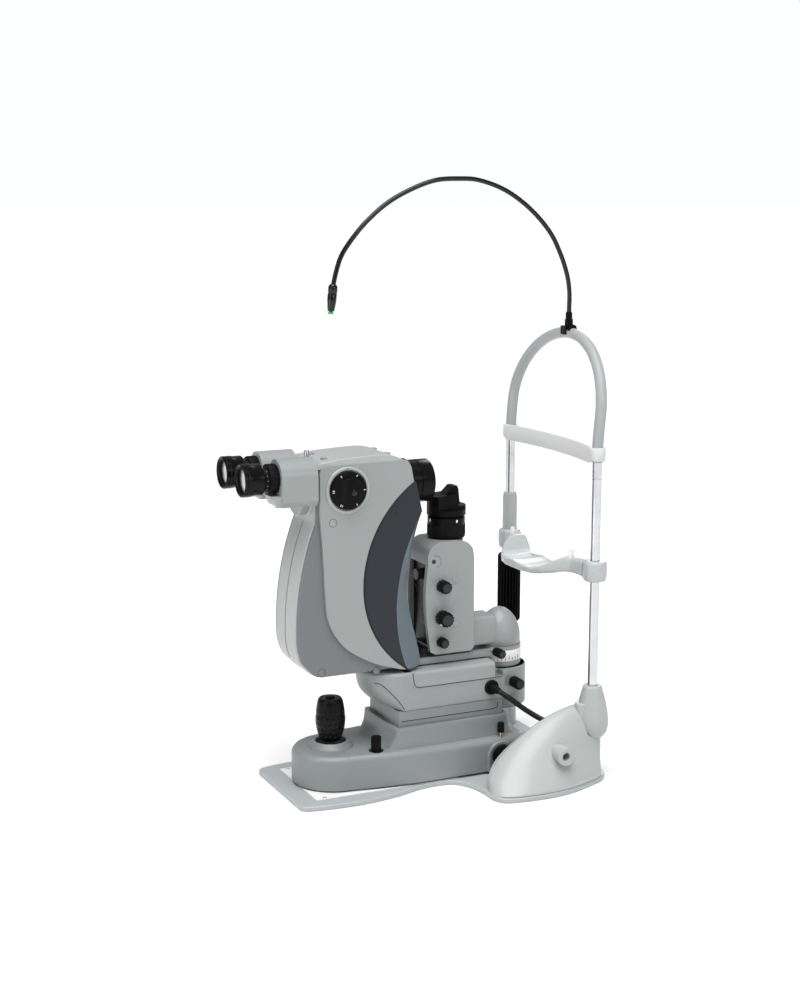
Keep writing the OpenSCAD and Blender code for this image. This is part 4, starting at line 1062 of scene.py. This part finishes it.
def magnification_knob(side, sign):
    x, z = KNOB_AT
    centre = (x, sign * BODY_HW, z)
    scale = [(r, sign * h) for r, h in ((23.8, -1), (28.2, -1), (28.2, 1.0), (27.4, 1.8), (25, 1.8), (24.2, 1.2),
                                        (23.8, -1))]
    ring(f"knob_scale_{side}", scale, centre, "y", "microscope", "light_paint", steps=96)
    disc = [(10, 0.5), (23.2, 0.5), (23.2, 3.6), (22.4, 4.6), (21, 5), (0, 5)]
    knurl = ribs(60, 0.5)
    lathe(f"knob_disc_{side}", [(r, sign * h) for r, h in disc], centre, "y", "changer", "black_plastic",
          ["magnification_changer"], steps=240, ripple=lambda a, r, h: knurl(a, r, h) if r > 23 else r, sharp=40)
    lever = []
    for flat, r, h in ((-11.5, 16.5, 4.5), (-6.5, 15.8, 10.6), (-5.6, 15.2, 11.4), (-4.6, 14.4, 11.6)):
        top = math.degrees(math.acos(flat / r))
        lever.append([(x + a, sign * (BODY_HW + h), z + b) for a, b in arc(0, 0, r, -top, top, 40)])
    piece(f"knob_lever_{side}", *rings_to_mesh(lever), "changer", "black_plastic")
    lathe(f"knob_button_{side}", [(3.6, sign * 11), (3.6, sign * 12.1), (3, sign * 12.5), (0, sign * 12.6)],
          (x + 3.5, sign * BODY_HW, z - 1.5), "y", "changer", "black_gloss", steps=40)
    for i in range(6):
        a = math.radians(60 * i)
        for shift in ((-1.1, 1.1) if i in (3, 4) else (0,)):
            middle = Vector((x + 20 * math.cos(a) - shift * math.sin(a), 0, z + 20 * math.sin(a) + shift * math.cos(a)))
            along, across = Vector((math.cos(a), 0, math.sin(a))) * 1.3, Vector((-math.sin(a), 0, math.cos(a))) * 0.4
            mark = [middle + u * along + v * across for u, v in ((1, 1), (-1, 1), (-1, -1), (1, -1))]
            slab(f"knob_mark_{side}_{i}_{'b' if shift > 0 else 'a'}", [(p.x, p.z) for p in mark],
                 *sorted((sign * (BODY_HW + 4.6), sign * (BODY_HW + 5.1))), "y", "changer", "mark_white")
    lathe(f"knob_pointer_{side}", [(1.2, sign * -0.5), (1.2, sign * 0.5), (0, sign * 0.6)],
          (x, sign * (BODY_HW + 1.6), z + 26), "y", "microscope", "mark_grey", steps=16)


def objective():
    front = box_mm("objective_barrel")[1][0]
    barrel = [(OBJ_R - 4, front - 60), (OBJ_R, front - 60), (OBJ_R, front - 19), (OBJ_R - 0.8, front - 18.4),
              (OBJ_R - 0.8, front - 17.4), (OBJ_R, front - 16.8), (OBJ_R, front - 1.2), (OBJ_R - 0.8, front),
              (OBJ_R - 3, front), (OBJ_R - 4, front - 1.2), (OBJ_R - 4, front - 60)]
    ring("objective_tube", barrel, (0, 0, AXIS_Z), "x", "microscope", "black_metal", ["objective_barrel"], steps=96)
    ring("objective_flange", [(OBJ_R - 1, -226), (OBJ_R + 2.4, -226), (OBJ_R + 2.4, -208), (OBJ_R + 1.4, -206.4),
                              (OBJ_R - 1, -206.4), (OBJ_R - 1, -226)], (0, 0, AXIS_Z), "x", "microscope", "black_metal",
         steps=96)
    for node in ("objective_lens", "laser_module"):
        refine(node, 0.4)


def pivot_hub():
    refine("microscope_arm", 1.6, 3, "grey_paint")
    centre = (PIVOT_X, 0, 0)
    ring("scale_ring", [(27, 137), (28.3, 137), (28.5, 137.4), (28.5, 150.6), (28.3, 151), (27, 151), (27, 137)], centre,
         "z", "microscope", "mark_white", steps=96)
    for i in range(25):
        a = math.radians(-120 + 10 * i + 180)
        tall = 6 if i % 3 == 0 else 3.5
        x, y = PIVOT_X + 28.35 * math.cos(a), 28.35 * math.sin(a)
        block(f"scale_tick_{i}", (x - 0.3, y - 0.3, 138.5), (x + 0.3, y + 0.3, 138.5 + tall), "microscope", "seam")


body_shell()
for side, sign in sides():
    side_skin(side, sign)
objective()
pivot_hub()

# ---------------------------------------------------------------- binocular

MOUNT_Z = 371


def binocular():
    centre = (0, 0, MOUNT_Z)
    neck = [(26.6, -330), (27, -338.4), (26.4, -339), (25, -339.2), (25, -341.6), (26.4, -341.8), (27, -342.4),
            (27, -351), (26.2, -352), (17.2, -352), (17, -353), (17, -375), (16, -376), (0, -376)]
    lathe("binocular_neck", neck, centre, "x", "microscope", "grey_paint", ["binocular_mount"], steps=96, sharp=30)
    fairing = smooth([(28, -340.6), (30.5, -338.6), (34, -334), (38, -327), (40, -318)], 5)
    lathe("mount_fairing", [(0, -342), (27.4, -342)] + fairing + [(0, -318)], centre, "x", "microscope", "casing_paint",
          steps=96, sharp=35)
    ring("neck_seam", [(24, -341.5), (25.4, -341.5), (25.4, -339.3), (24, -339.3), (24, -341.5)], centre, "x",
         "microscope", "seam", steps=96)
    lathe("stop_pin", [(3.2, 409), (3.2, 420), (2.6, 421), (0, 421)], (-336, 0, 0), "z", "microscope", "steel",
          steps=32)
    for side, sign in sides():
        refine(f"prism_housing_{side}", 2.0, 4, sharp=30)
        eyepiece(side, sign)


def eyepiece(side, sign):
    front = box_mm(f"eyepiece_{side}")[0][0]
    x = lambda d: front + d
    cup = [(13.1, x(9)), (13.1, x(5.4)), (15.6, x(4.4)), (15.6, x(2.5)), (CUP_R - 2.2, x(0.4)), (CUP_R - 1.2, x(0)),
           (CUP_R, x(1.2)), (CUP_R, x(4)),
           (CUP_R - 0.7, x(4.8)), (CUP_R - 0.7, x(5.8)), (CUP_R, x(6.6)), (CUP_R, x(12)), (CUP_R - 0.6, x(13)),
           (CUP_R - 0.6, x(24)), (CUP_R - 1.4, x(25)), (15.4, x(25)), (15.4, x(26.5)), (12, x(26.5)), (12, x(9)),
           (13.1, x(9))]
    centre = (0, sign * EYE_Y, EYE_Z)
    ring(f"eyecup_{side}", cup, centre, "x", f"ocular_{side}", "cup_black", [f"eyepiece_{side}"], steps=96)
    barrel = [(15.2, x(25)), (15.4, x(25.6)), (15.4, x(31.4)), (17, x(32)), (17.6, x(32.6)), (17.6, x(41.6)), (17, x(43.4)),
              (15, x(43.7)), (15, x(54)), (12, x(54)), (12, x(26))]
    knurl = ribs(48, 0.5)
    lathe(f"dioptre_ring_{side}", barrel, centre, "x", f"ocular_{side}", "black_plastic", [], steps=288, sharp=40,
          ripple=lambda a, r, h: knurl(a, r, h) if r > 17.5 else r)
    for i in range(5):
        a = math.radians(sign * 90 + 22 * (i - 2))
        y, z = sign * EYE_Y + 15.4 * math.sin(a), EYE_Z + 15.4 * math.cos(a)
        block(f"dioptre_dot_{side}_{i}", (x(28.4), y - 0.5, z - 0.5), (x(29.4), y + 0.5, z + 0.5), f"ocular_{side}",
              "mark_grey")
    glass = [(0, x(3.6)), (7, x(4.2)), (13, x(5.6)), (13, x(8.9)), (0, x(8.9))]
    lathe(f"eye_glass_{side}", glass, centre, "x", f"ocular_{side}", "lens_bright", [f"eye_lens_{side}"], steps=64)
    ring(f"field_stop_{side}", [(7, x(17)), (12, x(17)), (12, x(24)), (7, x(24)), (7, x(17))], centre, "x",
         f"ocular_{side}", "black_metal")


binocular()

# ---------------------------------------------------------------- illumination tower


def illumination():
    hub_low = box_mm("illumination_arm")[0][2]
    dome = [(9.1, hub_low), (26.4, hub_low), (27, hub_low + 0.8), (27, 166)] + smooth(
        [(27, 168), (25.6, 176.5), (21.6, 186.5), (15.4, 195), (8, 200.4), (3.4, 201.8)], 6) + [
        (2.6, 201), (2.6, 192), (9, 192), (9.1, hub_low)]
    ring("pivot_dome", dome, (PIVOT_X, 0, 0), "z", "illumination", "grey_paint", ["illumination_arm"], steps=96,
         sharp=40)
    web = [(-20, 160), (20, 160), (20, 190), (17, 196), (-17, 196), (-20, 190)]
    soften(slab("tower_arm", web, -126, PIVOT_X - 14, "x", "illumination", "grey_paint"), 3, 4)
    tower_low = box_mm("tower_housing")[0][2]
    front = smooth([(TOWER_X0 + 7, tower_low + 4), (TOWER_X0 + 2, 200), (TOWER_X0, 235), (TOWER_X0 + 3, 270)], 6)
    crown = smooth([(TOWER_X0 + 3.4, 284), (TOWER_X0 + 7, 293), (TOWER_X0 + 17, 299), (TOWER_X0 + 27, TOWER_TOP),
                    (TOWER_X1 - 24, TOWER_TOP), (TOWER_X1 - 11, 297.5), (TOWER_X1 - 2.5, 289), (TOWER_X1, 276)], 5)
    profile = front + crown + [(TOWER_X1, tower_low + 4), (TOWER_X1 - 4, tower_low), (TOWER_X0 + 14, tower_low)]
    tower = slab("tower_shell", profile, -TOWER_HW, TOWER_HW, "y", "illumination", "grey_paint", ["tower_housing"],
                 25)
    cutters = [cutter_block((TOWER_X0 + 9, 4 - TOWER_HW, tower_low + 10), (TOWER_X1 - 4, TOWER_HW - 4, tower_low + 124)),
               cutter_bar((KNOB_X, 0, 270), "z", 21, TOWER_TOP - 269),
               cutter_block((TOWER_X0 - 4, -22, 168), (TOWER_X0 + 10, 22, 272))]
    for node in ("filter_knob", "aperture_knob", "slit_knob"):
        low, high = box_mm(node)
        shaft = ((low[0] + high[0]) / 2, -TOWER_HW - 1, (low[2] + high[2]) / 2)
        cutters.append(cutter_bar(shaft, "y", 3.05, 6))
    carve(tower, cutters)
    soften(tower, 3.0, 5, 40)
    refine("lamp_module", 1.0)
    block("slit_apron", (TOWER_X0 - 5, -24, tower_low + 1), (TOWER_X0 + 6, 24, tower_low + 9), "illumination",
          "black_metal", width=1.5)
    # black baffle in the slot on the tower's -X side: partly a black cover, partly painted shade of the side that faces
    # the body
    block("slit_baffle_and_shade", (TOWER_X0 + 8, -22.6, tower_low + 9), (TOWER_X0 + 10, 22.6, 272.6), "illumination", "black_metal",
          width=0.5)
    for side, sign in sides():
        y = sign * TOWER_HW
        for name, x, z, r in (("upper", -151, 249.5, 4), ("lower", -150.5, 194.6, 4), ("small", -181, 276.4, 2.6)):
            cap = [(r, -0.8), (r, 0.2), (r - 0.4, 0.45), (0, 0.5)]
            look = "grey_paint" if name != "small" else "seam"
            lathe(f"tower_{name}_cap_{side}", [(q, sign * h) for q, h in cap], (x, y, z), "y", "illumination", look,
                  steps=32)
            rim = [(r, -0.8), (r + 0.5, -0.8), (r + 0.5, 0.1), (r, 0.1), (r, -0.8)]
            ring(f"tower_{name}_rim_{side}", [(q, sign * h) for q, h in rim], (x, y, z), "y", "illumination", "mark_grey",
                 steps=40)
        hook = [(-181, y, 284), (-174, y, 283), (-171, y, 278), (-172, y, 271), (-178, y, 269)]
        groove(f"tower_hook_{side}", smooth(hook, 4), "illumination", (0, 1, 0), 0.5, "mark_grey")
    for node, body, count in (("filter_knob", "filter", 12), ("aperture_knob", "aperture", 14),
                              ("slit_knob", "slit", 10)):
        side_knob(node, body, count, 1.1, node == "aperture_knob")
    tower_head()


def tower_head():
    low, high = box_mm("tower_knob")
    centre = (KNOB_X, 0, 0)
    top = high[2]
    grip = [(10.1, low[2]), (20.9, low[2]), (20.9, TOWER_TOP + 0.4), (KNOB_R - 1.2, TOWER_TOP + 0.5),
            (KNOB_R - 0.6, TOWER_TOP + 1.6), (KNOB_R - 0.6, top - 2), (KNOB_R - 2.4, top), (10.1, top), (10.1, low[2])]
    ring("tower_grip", grip, centre, "z", "tower_ring", "black_plastic", ["tower_knob"], steps=144)
    for i in range(60):
        a = 2 * math.pi * i / 60
        c = (KNOB_X + (KNOB_R - 0.7) * math.cos(a), (KNOB_R - 0.7) * math.sin(a))
        lathe(f"grip_rib_{i}", [(0, TOWER_TOP + 3), (0.65, TOWER_TOP + 3.6), (0.65, top - 11), (0, top - 10.4)],
              (*c, 0), "z", "tower_ring", "grip_black", steps=8)
    for i, a in enumerate((-174, -82)):
        c = (KNOB_X + (KNOB_R - 0.9) * math.cos(math.radians(a)), (KNOB_R - 0.9) * math.sin(math.radians(a)))
        block(f"grip_window_{i}", (c[0] - 1.1, c[1] - 1.1, top - 6.6), (c[0] + 1.1, c[1] + 1.1, top - 3), "tower_ring",
              "mark_white", width=0.4)
    refine("tower_lever", 1.6, 3)


illumination()

# ---------------------------------------------------------------- the rest of the CAD nodes, floor and light

for name in ("axle", "drive_wheels", "racks", "gimbal_ring", "joystick_shaft", "lift_screw", "pivot_shaft"):
    nodes[name].data.shade_smooth()
    nodes[name].data.set_sharp_from_angle(angle=math.radians(30))


def floor():
    g = Graph("floor")
    g.link(g.mix(g.noise(3, 3), (0.86, 0.86, 0.855), (0.875, 0.875, 0.87)), g.shader.inputs["Base Color"])
    g.link(g.ramp(g.noise(6, 4), 0.3, 0.7, 0.55, 0.68), g.shader.inputs["Roughness"])
    mesh = bpy.data.meshes.new("floor")
    mesh.from_pydata([(-40, -40, 0), (40, -40, 0), (40, 40, 0), (-40, 40, 0)], [], [(0, 1, 2, 3)])
    mesh.materials.append(g.material)
    obj = bpy.data.objects.new("floor", mesh)
    bpy.context.scene.collection.objects.link(obj)


def soft_light(name, place, target, size, power):
    data = bpy.data.lights.new(name, "AREA")
    data.shape = "RECTANGLE"
    data.size, data.size_y = size
    data.energy = power
    light = bpy.data.objects.new(name, data)
    bpy.context.scene.collection.objects.link(light)
    light.location = Vector(place)
    light.rotation_euler = (Vector(target) - Vector(place)).to_track_quat("-Z", "Y").to_euler()


def studio():
    """An even pale surround, one broad key light from the doctor's side and strips for the highlights."""
    world = bpy.data.worlds.new("studio")
    world.use_nodes = True
    tree = world.node_tree
    shine = tree.nodes["Background"]
    shine.inputs["Color"].default_value = (0.98, 0.99, 1.0, 1)
    lit, dark, seen = 0.32, 0.05, 1.0
    toward = tree.nodes.new("ShaderNodeVectorMath")
    toward.operation = "DOT_PRODUCT"
    toward.inputs[1].default_value = CAMERA_SIDE
    tree.links.new(tree.nodes.new("ShaderNodeTexCoord").outputs["Generated"], toward.inputs[0])
    flag = tree.nodes.new("ShaderNodeMapRange")
    for socket, value in (("From Min", 0.86), ("From Max", 0.95), ("To Min", lit), ("To Max", dark)):
        flag.inputs[socket].default_value = value
    tree.links.new(toward.outputs["Value"], flag.inputs["Value"])
    level = tree.nodes.new("ShaderNodeMix")
    level.data_type = "FLOAT"
    level.inputs[3].default_value = seen
    tree.links.new(tree.nodes.new("ShaderNodeLightPath").outputs["Is Camera Ray"], level.inputs[0])
    tree.links.new(flag.outputs["Result"], level.inputs[2])
    tree.links.new(level.outputs[0], shine.inputs["Strength"])
    bpy.context.scene.world = world
    sun = bpy.data.lights.new("key", "SUN")
    sun.energy = 3.4
    sun.angle = math.radians(50)
    key = bpy.data.objects.new("key", sun)
    bpy.context.scene.collection.objects.link(key)
    key.rotation_euler = Vector((0.15, 0.26, -0.95)).to_track_quat("-Z", "Y").to_euler()
    middle = (0, 0, 0.28)
    soft_light("strip_left", (-1.5, -0.5, 0.8), middle, (0.35, 1.3), 5)
    soft_light("strip_front", (0.5, -2.2, 1.3), middle, (1.4, 0.4), 7)
    soft_light("strip_back", (1.2, 1.3, 1.1), middle, (0.4, 1.4), 6)
    bpy.context.scene.view_settings.view_transform = "Standard"


floor()
studio()
